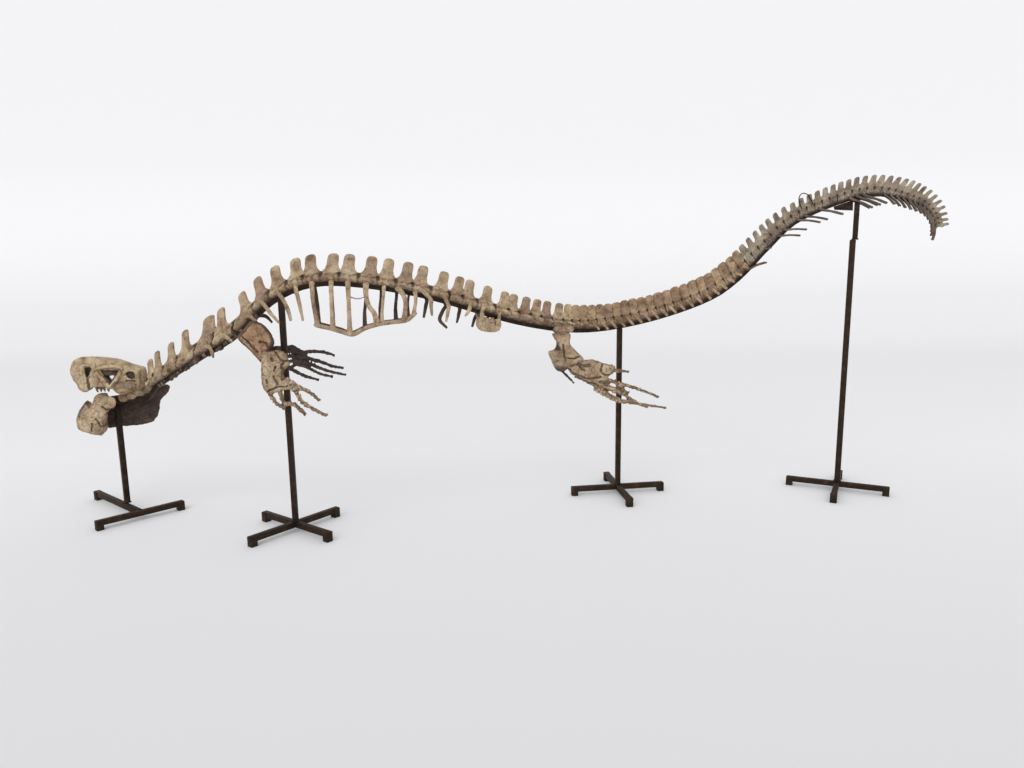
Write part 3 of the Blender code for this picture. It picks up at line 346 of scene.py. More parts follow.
def push(obj, texture, depth, rest):
    # moves the surface along its normals by a texture that is fixed in space
    modify(obj, texture.name, "DISPLACE", texture=texture, texture_coords="GLOBAL", strength=depth,
           mid_level=rest)


def growTogether(piece, voxel, soften, keep):
    # one skin over all the parts, worn smooth, with this share of its faces
    modify(piece, "grown together", "REMESH", mode="VOXEL", voxel_size=voxel)
    modify(piece, "worn", "SMOOTH", factor=0.5, iterations=soften)
    if keep < 1.0:
        modify(piece, "fewer faces", "DECIMATE", ratio=keep)


def fuse(name, parts, voxel, keep=1.0, lumps=0.0030, pits=0.0012, mosaic=0.0, soften=3, stainAt=None):
    # parts are (object, tint, darkening). They grow together, then get their weathered surface. Tint and
    # darkening come back as attributes, read from the part that lies nearest; the darkening is real stain and
    # painted shade. The place function given last adds to it, mostly painted shade.
    spots, faces, marks = [], [], []
    for obj, tint, stain in parts:
        base = len(spots)
        spots += [v.co.copy() for v in obj.data.vertices]
        faces += [[base + i for i in face.vertices] for face in obj.data.polygons]
        marks += [(tint, stain)] * len(obj.data.polygons)
    nearest = BVHTree.FromPolygons(spots, faces)
    piece = joined(name, [part[0] for part in parts])
    growTogether(piece, voxel, soften, keep)
    if mosaic:
        push(piece, mosaicTexture, mosaic, surface["mosaicRest"])
    push(piece, lumpTexture, lumps, surface["lumpRest"])
    push(piece, pitTexture, pits, surface["pitRest"])
    applyAll(piece)
    mesh = piece.data
    mesh.materials.clear()
    values = {"boneTint": [], "boneStainAndShade": []}
    for v in mesh.vertices:
        tint, stain = marks[nearest.find_nearest(v.co)[2]]
        values["boneTint"].append(tint)
        values["boneStainAndShade"].append(max(stain, stainAt(v.co)) if stainAt else stain)
    for label, numbers in values.items():
        mesh.attributes.new(label, "FLOAT", "POINT").data.foreach_set("value", numbers)
    selectOnly(piece)
    bpy.ops.object.shade_smooth()
    print("  ", name, len(mesh.polygons), "faces")
    return piece


def carve(piece, plane, grooves, depth, dark):
    # presses grooves into both faces of a bone and darkens them with painted shade. Each is (corners in the
    # plane, radius)
    back = plane.inverted()
    stainAndShadeValues = piece.data.attributes["boneStainAndShade"].data
    grooves = [([Vector(corner) for corner in corners], radius) for corners, radius in grooves]
    for v in piece.data.vertices:
        a, side, h = back @ v.co
        wander = noise.noise_vector(v.co * surface["wandersPerMetre"]) * surface["grooveWander"]
        spot = Vector((a + wander.x, h + wander.z))
        cut = 0.0
        for corners, radius in grooves:
            away = min((spot - nearestOn(one, two, spot)).length for one, two in zip(corners, corners[1:]))
            cut = max(cut, 1.0 - smoothStep(radius * 0.45, radius, away))
        if cut:
            side -= math.copysign(min(depth, abs(side)) * cut, side)
            v.co = plane @ Vector((a, side, h))
            stainAndShadeValues[v.index].value = max(stainAndShadeValues[v.index].value, dark * cut)


def shaft(path, radii, across=None, flat=1.0, sides=10):
    # a rod of bone or wire through the path. Across is the way in which it is flattened.
    curve = bpy.data.curves.new("shaft", "CURVE")
    curve.dimensions = "3D"
    curve.bevel_depth = 1.0
    curve.bevel_resolution = (sides - 4) // 2
    curve.use_fill_caps = True
    spline = curve.splines.new("POLY")
    spline.points.add(len(path) - 1)
    for point, place, radius in zip(spline.points, path, radii):
        point.co = (*place, 1.0)
        point.radius = radius
    obj = bpy.data.objects.new("shaft", curve)
    bpy.context.scene.collection.objects.link(obj)
    selectOnly(obj)
    bpy.ops.object.convert(target="MESH")
    obj = bpy.context.view_layer.objects.active
    if flat != 1.0:
        across = across.normalized()
        for v in obj.data.vertices:
            centre = min(path, key=lambda p: (p - v.co).length_squared)
            v.co -= across * (v.co - centre).dot(across) * (1.0 - flat)
    return obj


def easedShaft(path, radii, across=None, flat=1.0, sides=10, steps=5):
    # a shaft whose course and radii are smooth through the given ones
    route = throughPoints(path, steps)
    widths = []
    for k in range(len(route)):
        i = min(k // steps, len(radii) - 2)
        widths.append(radii[i] + (radii[i + 1] - radii[i]) * (k / steps - i))
    return shaft(route, widths, across, flat, sides)

# vertebrae

vertebra = {
    "length": 0.100, "halfWidth": 0.035, "depth": 0.016, "arch": 0.038, "spineTop": 0.140,
    "spineWidth": 0.054, "spineThickness": 0.015, "reach": 0.030,
    # the drum is drawn out in steps of (share of its length, growth), then its ends are hollowed
    "drumSteps": ((0.14, 1.0), (0.16, 0.84), (0.40, 1.0), (0.16, 1.0 / 0.84), (0.14, 1.0)),
    "hollow": {"thickness": 0.16, "depth": -0.06}, "drumTop": 0.66, "gap": 0.0012,
    # block of the arch, then its draws: (rise, growth along, growth across)
    "archFoot": 0.62, "archBlock": (0.060, 0.034, 0.020),
    "archDraws": ((0.010, 0.92, 0.62), (0.012, 1.00, 0.72)),
    # the blade stands on a broad foot, narrows, and ends in a round top; rises are shares of its height
    "bladeFoot": 0.9, "footGrowth": (1.75, 1.2), "footHeight": 0.012,
    "bladeDraws": ((0.13, 0.74, 0.90), (0.22, 0.82, 0.90), (0.32, 0.98, 0.96), (0.13, 0.94, 1.10),
                   (0.09, 0.78, 0.92), (0.05, 0.50, 0.75)),
    # joint prongs: way, reach, rise
    "prongs": ((-1.0, 0.043, 0.001), (1.0, 0.038, 0.006)), "prongLevel": 0.78, "prongStart": (0.018, 0.010),
    "prongSide": 0.015, "prongRadii": (0.0110, 0.0095, 0.0080), "prongFlat": 0.75,
    # side processes: how far the tip points back, radii, flatness
    "trunkVertebra": (0.002, (0.017, 0.0150, 0.0130, 0.0140), 0.85),
    "tailVertebra": (0.010, (0.016, 0.0125, 0.0105, 0.0115), 0.50),
    "processRoot": (-0.006, 0.55, 0.30), "processTip": 0.004, "processShares": (0.0, 0.4, 0.8, 1.0),
    "voxel": 0.0028, "soften": 2, "keep": 0.22,
    # copies differ: full height, how much lower elsewhere and in the tail's wall of spines, their twist,
    # and how much narrower or wider the blades of the wall are but for the ones that leave a gap
    "fullHeight": 0.99, "lower": (0.03, 0.075), "twist": 0.05, "wallWidths": (-0.06, 0.14),
    "wallGaps": (31, 36, 41, 44), "wallFused": 0.3, "wallEnd": 4.1,
    "noProcess": 0.004, "thicken": 1.05, "bodyFill": 0.985,
    "fusedEdge": 0.12, "fusedGrowth": 1.2, "fusedReach": 0.56,
}


def carvedCentrum():
    # a drum with raised rims and hollow ends, drawn out of a ring
    v = vertebra
    length, low, high = v["length"] - v["gap"] * 2, -v["depth"], v["arch"] * v["drumTop"]
    drum = primitive(bpy.ops.mesh.primitive_circle_add, vertices=18, radius=1.0, fill_type="NGON",
                     rotation=(0.0, math.pi / 2, 0.0))
    editAll(drum)
    for step, size in v["drumSteps"]:
        drawOut(x=step)
        bpy.ops.transform.resize(value=(1.0, size, size))
    bpy.ops.mesh.inset(**v["hollow"])
    pickFaces(drum, lambda centre, normal: centre.x < 0.001 and abs(normal.x) > 0.9)
    bpy.ops.mesh.inset(**v["hollow"])
    pointOutwards()
    objectMode()
    reshape(drum, lambda x, y, z: ((x - 0.5) * length, y * v["halfWidth"],
                                   (low + high) / 2 + z * (high - low) / 2))
    return drum


def taperedBlock(level, size, draws):
    # a block whose top is drawn out. Each draw is (rise, growth along, growth across)
    block = primitive(bpy.ops.mesh.primitive_cube_add, size=1.0, location=(0.0, 0.0, level), scale=size)
    editAll(block)
    pickFaces(block, lambda centre, normal: normal.z > 0.9)
    for rise, growX, growY in draws:
        drawOut(z=rise)
        bpy.ops.transform.resize(value=(growX, growY, 1.0))
    bpy.ops.mesh.select_all(action="SELECT")
    bpy.ops.mesh.bevel(offset=min(size) * 0.22, segments=2, affect="EDGES")
    objectMode()
    return block


def modelVertebra(name):
    # one vertebra at a nominal size: drum, arch, blade, four joint prongs and side processes
    v = vertebra
    low = v["arch"] * v["bladeFoot"]
    tall = v["spineTop"] - low
    foot = (v["spineWidth"] * v["footGrowth"][0], v["spineThickness"] * v["footGrowth"][1], v["footHeight"])
    parts = [carvedCentrum(), taperedBlock(v["arch"] * v["archFoot"], v["archBlock"], v["archDraws"]),
             taperedBlock(low, foot, [(tall * share, *growth) for share, *growth in v["bladeDraws"]])]
    tipBack, radii, flat = v[name]
    for side in (-1.0, 1.0):
        level = v["arch"] * v["prongLevel"]
        for way, reach, rise in v["prongs"]:
            start = Vector((way * v["prongStart"][0], side * v["prongStart"][1], level))
            end = Vector((way * reach, side * v["prongSide"], level + rise))
            parts.append(shaft([start, (start + end) / 2, end], v["prongRadii"], upward, v["prongFlat"]))
        back, out, up = v["processRoot"]
        root = Vector((back, side * v["halfWidth"] * out, v["arch"] * up))
        tip = Vector((tipBack, side * (v["halfWidth"] + v["reach"]), v["processTip"]))
        parts.append(shaft([root.lerp(tip, t) for t in v["processShares"]], radii, upward, flat))
    whole = joined(name, parts)
    growTogether(whole, v["voxel"], v["soften"], v["keep"])
    applyAll(whole)
    print("  ", name, len(whole.data.polygons), "faces")
    return whole


def bladeWidth(k):
    room = min(abs(vertebrae[k] - vertebrae[n]) for n in (k - 1, k + 1) if 0 <= n < len(vertebrae))
    return min(sizeAt("spineWidth", vertebrae[k]), backbone["bladeFill"] * room)


def fitVertebra(model, k, process):
    # a copy of the model takes the sizes of vertebra k, and sits at its place on the backbone
    s = vertebrae[k]
    v = vertebra
    before = vertebrae[k - 1] if k else 2 * s - vertebrae[1]
    after = vertebrae[k + 1] if k + 1 < len(vertebrae) else 2 * s - before
    front = max((before + s) / 2, backbone["start"]) - s
    back = min((s + after) / 2, courseLength - 0.004) - s
    width = bladeWidth(k)
    lean = math.tan(math.radians(sizeAt("spineLean", s)))
    arch, top, depth, half, droop, fused = (
        sizeAt(name, s) for name in ("archHeight", "spineHeight", "bodyDepth", "halfWidth", "processDroop",
                                     "spineFused"))
    reach = sizeAt("processReach", s) if process else v["noProcess"]
    room = min(after - s, s - before)
    thick = min(1.0, half / v["halfWidth"] * v["thicken"])
    twin = copyOf(model, f"vertebra{k:02d}")
    point, along, right, up = courseFrame(s)
    inWall = fused > v["wallFused"] and s < v["wallEnd"]
    shrink = v["fullHeight"] - v["lower"][inWall] * dice.random()
    twist = dice.uniform(-v["twist"], v["twist"])
    if inWall and k not in v["wallGaps"]:
        width *= 1.0 + dice.uniform(*v["wallWidths"])
    for vert in twin.data.vertices:
        x, y, z = vert.co
        inSpine = smoothStep(v["arch"] * 0.75, v["arch"] * 1.15, z)
        bodyX = x / (v["length"] / 2) * (back if x > 0 else -front) * v["bodyFill"]
        bladeX = x / v["spineWidth"] * width
        rise = (z - v["arch"]) / (v["spineTop"] - v["arch"])
        if z > v["arch"] and fused:
            spread = 1.0 - smoothStep(fused - v["fusedEdge"], fused + v["fusedEdge"], rise)
            share = x / v["spineWidth"] * v["fusedGrowth"]
            bladeX += spread * (max(-v["fusedReach"], min(v["fusedReach"], share)) * room - bladeX)
        newX = bodyX * (1 - inSpine) + bladeX * inSpine
        if z > v["arch"]:
            newZ = arch + rise * (top - arch) * shrink
        elif z > 0:
            newZ = z / v["arch"] * arch
        else:
            newZ = z / v["depth"] * depth
        beyond = abs(y) - v["halfWidth"]
        if beyond > 0:
            newY = half + beyond / v["reach"] * reach
            newX = x * min(width / v["spineWidth"], 1.0) + 0.006 * beyond / v["reach"]
            newZ = z * min(1.0, depth / v["depth"] * 0.9) - droop * min(beyond / v["reach"], 1.1)
        else:
            newY = abs(y) / v["halfWidth"] * half
        if z > v["arch"]:
            newY *= thick * v["halfWidth"] / half
        newY = math.copysign(newY, y)
        newX += lean * max(newZ, 0.0) + 0.25 * twist * newY
        vert.co = point + along * newX + right * newY + up * newZ
    return twin


print("vertebrae")
trunkModel = modelVertebra("trunkVertebra")
tailModel = modelVertebra("tailVertebra")

freeRibs = {
    # vertebra: places (distance, drop) that the rib passes, on the animal's left and right
    "left": {
        4: ((0.640, 0.010), (0.662, 0.050), (0.666, 0.082)),
        5: ((0.756, -0.006), (0.800, 0.034), (0.828, 0.064)),
        6: ((1.016, 0.040), (1.073, 0.117)),
        7: ((1.108, 0.022), (1.151, 0.098), (1.197, 0.171)),
        8: ((1.222, 0.050), (1.250, 0.123), (1.262, 0.184)),
        9: ((1.298, 0.032), (1.309, 0.099), (1.324, 0.202)),
        16: ((1.985, 0.036), (1.986, 0.073), (1.990, 0.127)),
        17: ((2.088, 0.048), (2.082, 0.089), (2.071, 0.142)),
        19: ((2.212, 0.044), (2.186, 0.084)),
    },
    "right": {
        6: ((0.985, 0.040), (1.040, 0.110)),
        7: ((1.120, 0.034), (1.163, 0.106), (1.180, 0.174)),
        8: ((1.226, 0.036), (1.242, 0.094), (1.260, 0.200)),
        16: ((1.990, 0.040), (1.984, 0.081), (1.969, 0.151)),
        17: ((2.106, 0.044), (2.087, 0.085), (2.067, 0.141), (2.112, 0.178)),
        18: ((2.192, 0.040), (2.187, 0.079), (2.172, 0.134)),
        20: ((2.312, 0.040), (2.289, 0.075), (2.269, 0.133)),
    },
    "bow": ((4, 0.046), (5, 0.052), (6, 0.095), (9, 0.100), (16, 0.055), (20, 0.050)),
    "radius": 0.0118, "flat": 0.62, "headIn": 0.7, "headOut": 0.014, "headBack": 0.008, "headSize": 1.25,
    # painted shade: the ribs on the right, the far side, are darkened
    "tipSize": 0.62, "stain": {"left": 0.05, "right": 0.92},
}

chevrons = {
    "first": 48, "none": (49, 50, 52, 55, 58, 60, 61, 62, 66, 67), "broken": {51: 0.035},
    "droop": ((4.10, 26.0), (4.35, 48.0), (4.50, 40.0), (4.60, 36.0), (4.83, 41.0), (4.91, 30.0),
              (5.05, 40.0), (5.42, 30.0)),
    "length": mm(((4000, 125), (4700, 140), (4920, 145), (4990, 90), (5420, 78))),
    "radius": 0.0076, "clearance": 0.0105, "closed": 0.0065, "closingDepth": 0.040, "gussetFrom": 4.735,
    # these pass wide of the tail post
    "besidePost": (4.81, 4.90), "detour": 0.0125,
    # sizes of a leg from its root to its tip
    "sizes": (1.35, 1.05, 0.85, 0.95), "fullLength": 0.140, "least": 0.72, "stain": 0.62,
    "elbowDrop": 0.008, "elbowBack": 0.012,
    # the bar below the vertebrae
    "barDrop": 0.003,
    "barDepth": mm(((0, 22), (3900, 20), (4300, 15), (5420, 9))),
    "barHalfWidth": mm(((0, 11), (3900, 11), (4300, 7), (5420, 5))),
}


def barUnderside(s):
    return -sizeAt("bodyDepth", s) - chevrons["barDrop"] - valueAt(chevrons["barDepth"], s)


def freeRib(k, which, sign):
    # head, neck, then the shaft that ends free
    r = freeRibs
    s = vertebrae[k]
    bow = valueAt(r["bow"], k)
    half = sizeAt("halfWidth", s)
    path = [beside(s, sign * half * r["headIn"], 0.004),
            beside(s, sign * (half + r["headOut"]), 0.0, r["headBack"]),
            *[hung(at, sign * bow, drop) for at, drop in r[which][k]]]
    radii = [r["radius"] * r["headSize"], *[r["radius"]] * (len(path) - 2), r["radius"] * r["tipSize"]]
    return easedShaft(path, radii, courseFrame(s)[2], r["flat"])


def chevronBone(k):
    # two legs beside the bar, which close below it into one blade where there is room
    c = chevrons
    s = vertebrae[k]
    rootHeight = -sizeAt("bodyDepth", s) * 0.8
    length = c["broken"].get(k, valueAt(c["length"], s))
    droop = math.radians(valueAt(c["droop"], s))
    tipHeight = rootHeight - length * math.sin(droop)
    apart = valueAt(c["barHalfWidth"], s) + c["clearance"]
    besidePost = c["besidePost"][0] < s < c["besidePost"][1]
    if besidePost:
        apart += c["detour"]
    closes = (tipHeight < barUnderside(s) - c["closingDepth"] and not besidePost
              and not s < c["gussetFrom"] < s + length)
    tipSide = c["closed"] if closes else apart
    elbowHeight = rootHeight - c["elbowDrop"]
    radius = c["radius"] * max(length / c["fullLength"], c["least"])
    return [easedShaft([beside(s, side * apart * 0.85, rootHeight * 0.2, 0.002),
                        beside(s, side * apart, elbowHeight, c["elbowBack"]),
                        beside(s, side * (apart + tipSide) / 2, (elbowHeight + tipHeight) / 2 + 0.003,
                               c["elbowBack"] + length * math.cos(droop) / 2),
                        beside(s, side * tipSide, tipHeight, 0.008 + length * math.cos(droop))],
                       [radius * size for size in c["sizes"]]) for side in (-1.0, 1.0)]


def spacerDisc(k):
    # the dark filler between two vertebrae, which the mounters cast
    s = (vertebrae[k] + vertebrae[k + 1]) / 2
    point, along, right, up = courseFrame(s)
    low = -sizeAt("bodyDepth", s)
    high = sizeAt("archHeight", s) * vertebra["drumTop"]
    half = sizeAt("halfWidth", s)
    disc = primitive(bpy.ops.mesh.primitive_cylinder_add, vertices=14, radius=1.0, depth=1.0,
                     rotation=(0.0, math.pi / 2, 0.0))
    size = putty["discSize"]
    reshape(disc, lambda x, y, z: (point + along * x * putty["discLength"] + right * y * half * size
                                   + up * ((low + high) / 2 + z * (high - low) / 2 * size)))
    return disc


putty = {
    # the bed on the bar thins towards the tail: (distance, radius)
    "bed": mm(((0, 10), (3900, 10), (4300, 8.5), (5420, 6))),
    # the nerve canal is filled as well
    "canal": mm(((0, 12), (2400, 11), (3000, 9), (4200, 6.5), (5420, 3.5))), "canalHeight": 0.78,
    # crumbs of dark matrix hang below the neck and shoulders
    "crumbsFrom": 0.12, "crumbsTo": 1.02, "crumbGap": 0.026, "crumbRadius": (0.009, 0.017),
    # the filler between two vertebrae
    "discLength": 0.022, "discSize": 0.90,
}


def beddingPutty(start, end):
    # the putty that beds the bones on the bar, so that no light shows between them. Its dark colour, and that
    # of the filled nerve canal, is partly the putty's own and partly painted shade under the column.
    count = max(2, round((end - start) / 0.03))
    places = [start + (end - start) * k / count for k in range(count + 1)]
    bed = [beside(s, 0.0, 0.002 - sizeAt("bodyDepth", s)) for s in places]
    canal = [beside(s, 0.0, sizeAt("archHeight", s) * putty["canalHeight"]) for s in places]
    parts = [(shaft(path, [valueAt(putty[name], s) for s in places]), 0.4, 0.9)
             for name, path in (("bed", bed), ("canal", canal))]
    s = max(start, putty["crumbsFrom"])
    while s < min(end, putty["crumbsTo"]):
        radius = dice.uniform(*putty["crumbRadius"])
        drop = sizeAt("bodyDepth", s) + dice.uniform(0.012, 0.024)
        middle = beside(s, dice.uniform(-0.016, 0.008), -drop)
        reach = beside(s + dice.uniform(0.010, 0.024), dice.uniform(-0.016, 0.0),
                       -drop + dice.uniform(-0.004, 0.010))
        parts.append((shaft([middle, reach], (radius, radius * 0.8)), 0.5, dice.uniform(0.62, 0.95)))
        s += putty["crumbGap"]
    return parts


throat = {
    # forward and height in the head's frame, then radius: the first small vertebrae lie under the skull
    "knobs": mm((
        (122, -112, 18), (100, -106, 29), (76, -98, 22), (54, -92, 31), (30, -83, 24), (6, -76, 31),
        (-20, -68, 24), (-42, -60, 30),
    )),
    "stubRadii": (0.011, 0.007),
}


def throatBones():
    path = [inHead(a, 0.0, h) for a, h, _ in throat["knobs"]] + [beside(0.062, 0.0, 0.008)]
    radii = [radius for _, _, radius in throat["knobs"]] + [0.030]
    parts = [(easedShaft(path, radii, sides=14, steps=3), 0.45, 0.10)]
    for a, h, _ in throat["knobs"][1::2]:
        for side in (-1.0, 1.0):
            tip = inHead(a - 0.020, side * 0.042, h - 0.004)
            parts.append((shaft([inHead(a, side * 0.010, h), tip], throat["stubRadii"]), 0.7, 0.0))
    return parts


columnShades = {
    # how dark: the bodies of the vertebrae and the joints; painted shade on their undersides, in the holes
    # beside the nerve canal, and in the seams between the close blades of the tail
    "body": 0.07, "underside": 0.34, "joint": 0.50, "hole": 0.85, "seam": 0.72,
    "holeReach": 0.014, "jointReach": 0.009, "seamReach": 0.0040, "tailFrom": 2.75,
    "tailSize": 0.55, "wallEnd": 4.15,
    # the holes and the underside, as shares of the arch and of the depth
    "holeLow": 0.30, "holeHigh": 0.95, "underFrom": -0.45,
}
courseSamples = [courseLength * k / 900 for k in range(901)]
courseTree = KDTree(len(courseSamples))
for k, s in enumerate(courseSamples):
    courseTree.insert(onCourse(s), k)
courseTree.balance()
courseFrames = [courseFrame(s) for s in courseSamples]
joints = [(a + b) / 2 for a, b in zip(vertebrae, vertebrae[1:])]


# painted shade under the column, in the holes beside the nerve canal and in the tail's seams, over the darker
# bodies and joints
def columnShade(spot):
    c = columnShades
    _, k, _ = courseTree.find(spot)
    point, along, right, up = courseFrames[k]
    offset = spot - point
    side, height = offset.dot(right), offset.dot(up)
    s = courseSamples[k] + offset.dot(along)
    arch = sizeAt("archHeight", s)
    depth = sizeAt("bodyDepth", s)
    if abs(side) > sizeAt("halfWidth", s) + 0.006 or height < -depth - 0.010:
        return 0.0
    s -= math.tan(math.radians(sizeAt("spineLean", s))) * max(height, 0.0)
    n = bisect(joints, s)
    gap = min(abs(s - joints[i]) for i in (n - 1, n) if 0 <= i < len(joints))
    if height > arch:
        inWall = sizeAt("spineFused", s) > vertebra["wallFused"] and s < c["wallEnd"]
        return c["seam"] * (1.0 - smoothStep(0.0012, c["seamReach"], gap)) if inWall else 0.0
    size = 1.0 if s < c["tailFrom"] else c["tailSize"]
    shade = c["body"] + c["joint"] * (1.0 - smoothStep(0.002, c["jointReach"] * size, gap))
    if c["holeLow"] * arch < height < c["holeHigh"] * arch:
        shade = max(shade, c["hole"] * (1.0 - smoothStep(0.5, 1.0, gap / (c["holeReach"] * size))))
    if height < c["underFrom"] * depth:
        shade = max(shade, c["underside"])
    return shade


# name, first vertebra, voxel, share of faces kept; each run ends where the next one starts
columnRuns = (
    ("neck", 0, 0.0024, 0.42), ("trunk_chest", regionStarts[2], 0.0026, 0.42),
    ("trunk_loin", regionStarts[3], 0.0026, 0.42), ("tail_root", regionStarts[4], 0.0023, 0.42),
    ("tail_middle", regionStarts[4] + 11, 0.0023, 0.42), ("tail_rise", regionStarts[5], 0.0018, 0.45),
    ("tail_tip", regionStarts[5] + 13, 0.0018, 0.45),
)
runEnds = [first for _, first, _, _ in columnRuns[1:]] + [len(vertebrae)]

pieces = {}
print("backbone runs")
for (name, first, voxel, keep), last in zip(columnRuns, runEnds):
    runStart = joints[first - 1] if first else backbone["start"]
    runEnd = joints[last - 1] if last < len(vertebrae) else courseLength - 0.012
    parts = beddingPutty(runStart, runEnd)
    if name == "neck":
        parts += throatBones()
    for k in range(first, last):
        tint = dice.random()
        model = tailModel if k >= regionStarts[4] - 3 else trunkModel
        process = (k not in freeRibs["left"] and k not in freeRibs["right"]
                   and sizeAt("processReach", vertebrae[k]) > 0.013)
        parts.append((fitVertebra(model, k, process), tint, 0.0))
        if k + 1 < last:
            parts.append((spacerDisc(k), 0.4, 0.55))
        for which, sign in bothSides:
            if k in freeRibs[which]:
                parts.append((freeRib(k, which, sign), dice.random(), freeRibs["stain"][which]))
        if k >= chevrons["first"] and k not in chevrons["none"]:
            parts += [(leg, tint, chevrons["stain"]) for leg in chevronBone(k)]
    pieces[name] = fuse(name + "_bones", parts, voxel, keep, lumps=0.0022, pits=0.0010, soften=2,
                        stainAt=columnShade)
dropObject(trunkModel)
dropObject(tailModel)

# rib cage

ribCage = {
    "barSide": 0.088, "barThick": 0.016, "barTall": 0.026, "topSide": 0.078, "bow": 0.030, "thickness": 0.012,
    "barMiddle": 1.6, "spurSide": 0.104, "spurRadii": (0.0040, 0.0034, 0.0030, 0.0026),
    "spur": mm(((1556, 88), (1588, 94), (1618, 86), (1640, 68))),
    "left": {
        "bar": mm((
            (1378, 226), (1392, 240), (1449, 258), (1502, 274), (1546, 288), (1576, 280), (1623, 250),
            (1702, 216), (1780, 195), (1838, 178), (1871, 150), (1892, 122),
        )),
        # foot on the bar, width, places on the way up
        "ribs": mm((
            (1392, 26, ((1388, 180), (1381, 110), (1374, 12))),
            (1464, 24, ((1465, 180), (1465, 110), (1466, 12))),
            (1546, 26, ((1547, 200), (1548, 110), (1548, 12))),
            (1688, 29, ((1674, 162), (1649, 127), (1636, 71), (1639, 12))),
            (1713, 19, ((1714, 150), (1722, 86), (1731, 12))),
            (1826, 29, ((1832, 130), (1836, 79), (1826, 40), (1803, 12))),
            (1880, 22, ((1884, 98), (1889, 64), (1893, 14))),
        )),
    },
    "right": {
        "bar": mm((
            (1343, 228), (1357, 243), (1426, 266), (1490, 284), (1540, 300), (1575, 292), (1627, 262),
            (1714, 228), (1802, 203), (1862, 182), (1897, 150),
        )),
        "ribs": mm((
            (1357, 26, ((1354, 180), (1349, 110), (1342, 12))),
            (1446, 22, ((1446, 180), (1446, 110), (1446, 12))),
            (1542, 22, ((1543, 200), (1544, 110), (1544, 12))),
            (1627, 22, ((1630, 180), (1640, 109), (1644, 12))),
            (1716, 17, ((1718, 150), (1726, 86), (1732, 12))),
            (1809, 22, ((1812, 130), (1820, 66), (1822, 12))),
            (1885, 17, ((1888, 100), (1892, 64), (1896, 14))),
        )),
    },
}


def makeRibCage(which, sign):
    c = ribCage
    barPath = [hung(s, sign * c["barSide"], drop) for s, drop in c[which]["bar"]]
    barRadii = [c["barTall"] / 2 * (1.0 if k % 2 else 0.92) for k in range(len(barPath))]
    bar = easedShaft(barPath, barRadii, courseFrame(c["barMiddle"])[2], c["barThick"] / c["barTall"])
    parts = [(bar, 0.35, 0.05)]
    for foot, width, places in c[which]["ribs"]:
        footDrop = valueAt(c[which]["bar"], foot)
        path = [hung(foot, sign * c["barSide"], footDrop)]
        for at, drop in places:
            part = (footDrop - drop) / footDrop
            reach = c["barSide"] + (c["topSide"] - c["barSide"]) * part + c["bow"] * math.sin(math.pi * part)
            path.append(hung(at, sign * reach, drop))
        radius = width / 2
        shares = [1.25, *[0.86 if k % 2 else 0.94 for k in range(len(places) - 1)], 1.15]
        radii = [radius * share for share in shares]
        flat = max(0.62, c["thickness"] / width)
        parts.append((easedShaft(path, radii, courseFrame(foot)[2], flat), dice.random(), 0.0))
        knob = primitive(bpy.ops.mesh.primitive_uv_sphere_add, segments=12, ring_count=8,
                         radius=radius * 1.25, location=path[-1] - upward * 0.004, scale=(1.0, 0.7, 0.8))
        parts.append((knob, dice.random(), 0.0))
    if which == "left":
        # a spur that curls between two ribs
        spur = [hung(s, -c["spurSide"], drop) for s, drop in c["spur"]]
        parts.append((easedShaft(spur, c["spurRadii"]), 0.3, 0.5))
    return parts


print("ribs")
for which, sign in bothSides:
    pieces["rib_cage_" + which] = fuse(f"rib_cage_{which}_bones", makeRibCage(which, sign), 0.0022, 0.6,
                                       lumps=0.0020, pits=0.0010, soften=2)

# flat bones: an outline drawn flat, extruded and rounded


def rounded(outline, steps=3):
    # a closed outline with its corners eased
    count = len(outline)
    corners = [Vector(p) for p in outline]
    eased = []
    for k in range(count):
        before, here, there, after = (corners[(k + n) % count] for n in (-1, 0, 1, 2))
        gap = (there - here).length
        leave = (there - before) * gap / (gap + (here - before).length)
        arrive = (after - here) * gap / (gap + (after - there).length)
        for step in range(steps):
            t = step / steps
            bend = t * (1.0 - t)
            eased.append(here.lerp(there, smoothStep(0.0, 1.0, t))
                         + leave * bend * (1.0 - t) - arrive * bend * t)
    return eased


def middleOf(outline):
    return sum((Vector(p) for p in outline), Vector((0.0, 0.0))) / len(outline)


def rimDistance(outline, spot):
    # how far a place in the outline's plane is from its edge
    corners = [Vector(corner) for corner in outline]
    return min((spot - nearestOn(a, b, spot)).length for a, b in zip(corners, corners[1:] + corners[:1]))


def insideOutline(outline, spot):
    inside = False
    for (x0, y0), (x1, y1) in zip(outline, outline[1:] + outline[:1]):
        if (y0 > spot[1]) != (y1 > spot[1]) and spot[0] < (x1 - x0) * (spot[1] - y0) / (y1 - y0) + x0:
            inside = not inside
    return inside


def flatBone(outline, halfThickness, place):
    # outline in its own plane (a, h). place(a, h, side) puts it in the model
    bone = plate(rounded(outline), -halfThickness)
    drawOut(z=halfThickness * 2)
    pointOutwards()
    bpy.ops.mesh.bevel(offset=halfThickness * 0.7, segments=3, affect="EDGES", clamp_overlap=True)
    objectMode()
    reshape(bone, place)
    return bone


def digitBones(path, plane, across, radius, stain):
    # a row of finger bones along the path, narrow in the middle, with dark joints between them
    route = throughPoints([plane @ Vector((x, across, z)) for x, z in path], 6)
    lengths = lengthsAlong(route)
    total = lengths[-1]
    count = max(2, round(total / limbs["fingerBone"]))
    joint = limbs["fingerJoint"]
    parts = []
    for k in range(count):
        start = placeAlong(route, lengths, total * k / count + joint)
        end = placeAlong(route, lengths, total * (k + 1) / count - joint)
        size = radius * (1.0 - 0.35 * (k + 0.5) / count)
        bone = shaft([start.lerp(end, t) for t, _ in limbs["phalanx"]],
                     [size * r for _, r in limbs["phalanx"]])
        parts.append((bone, 0.5 + dice.uniform(-0.25, 0.25),
                      stain if k + 1 < count else min(1.0, stain + 0.35)))
    core = shaft(route, [radius * 0.42] * len(route))
    return parts + [(core, 0.5, min(1.0, stain + 0.6))]


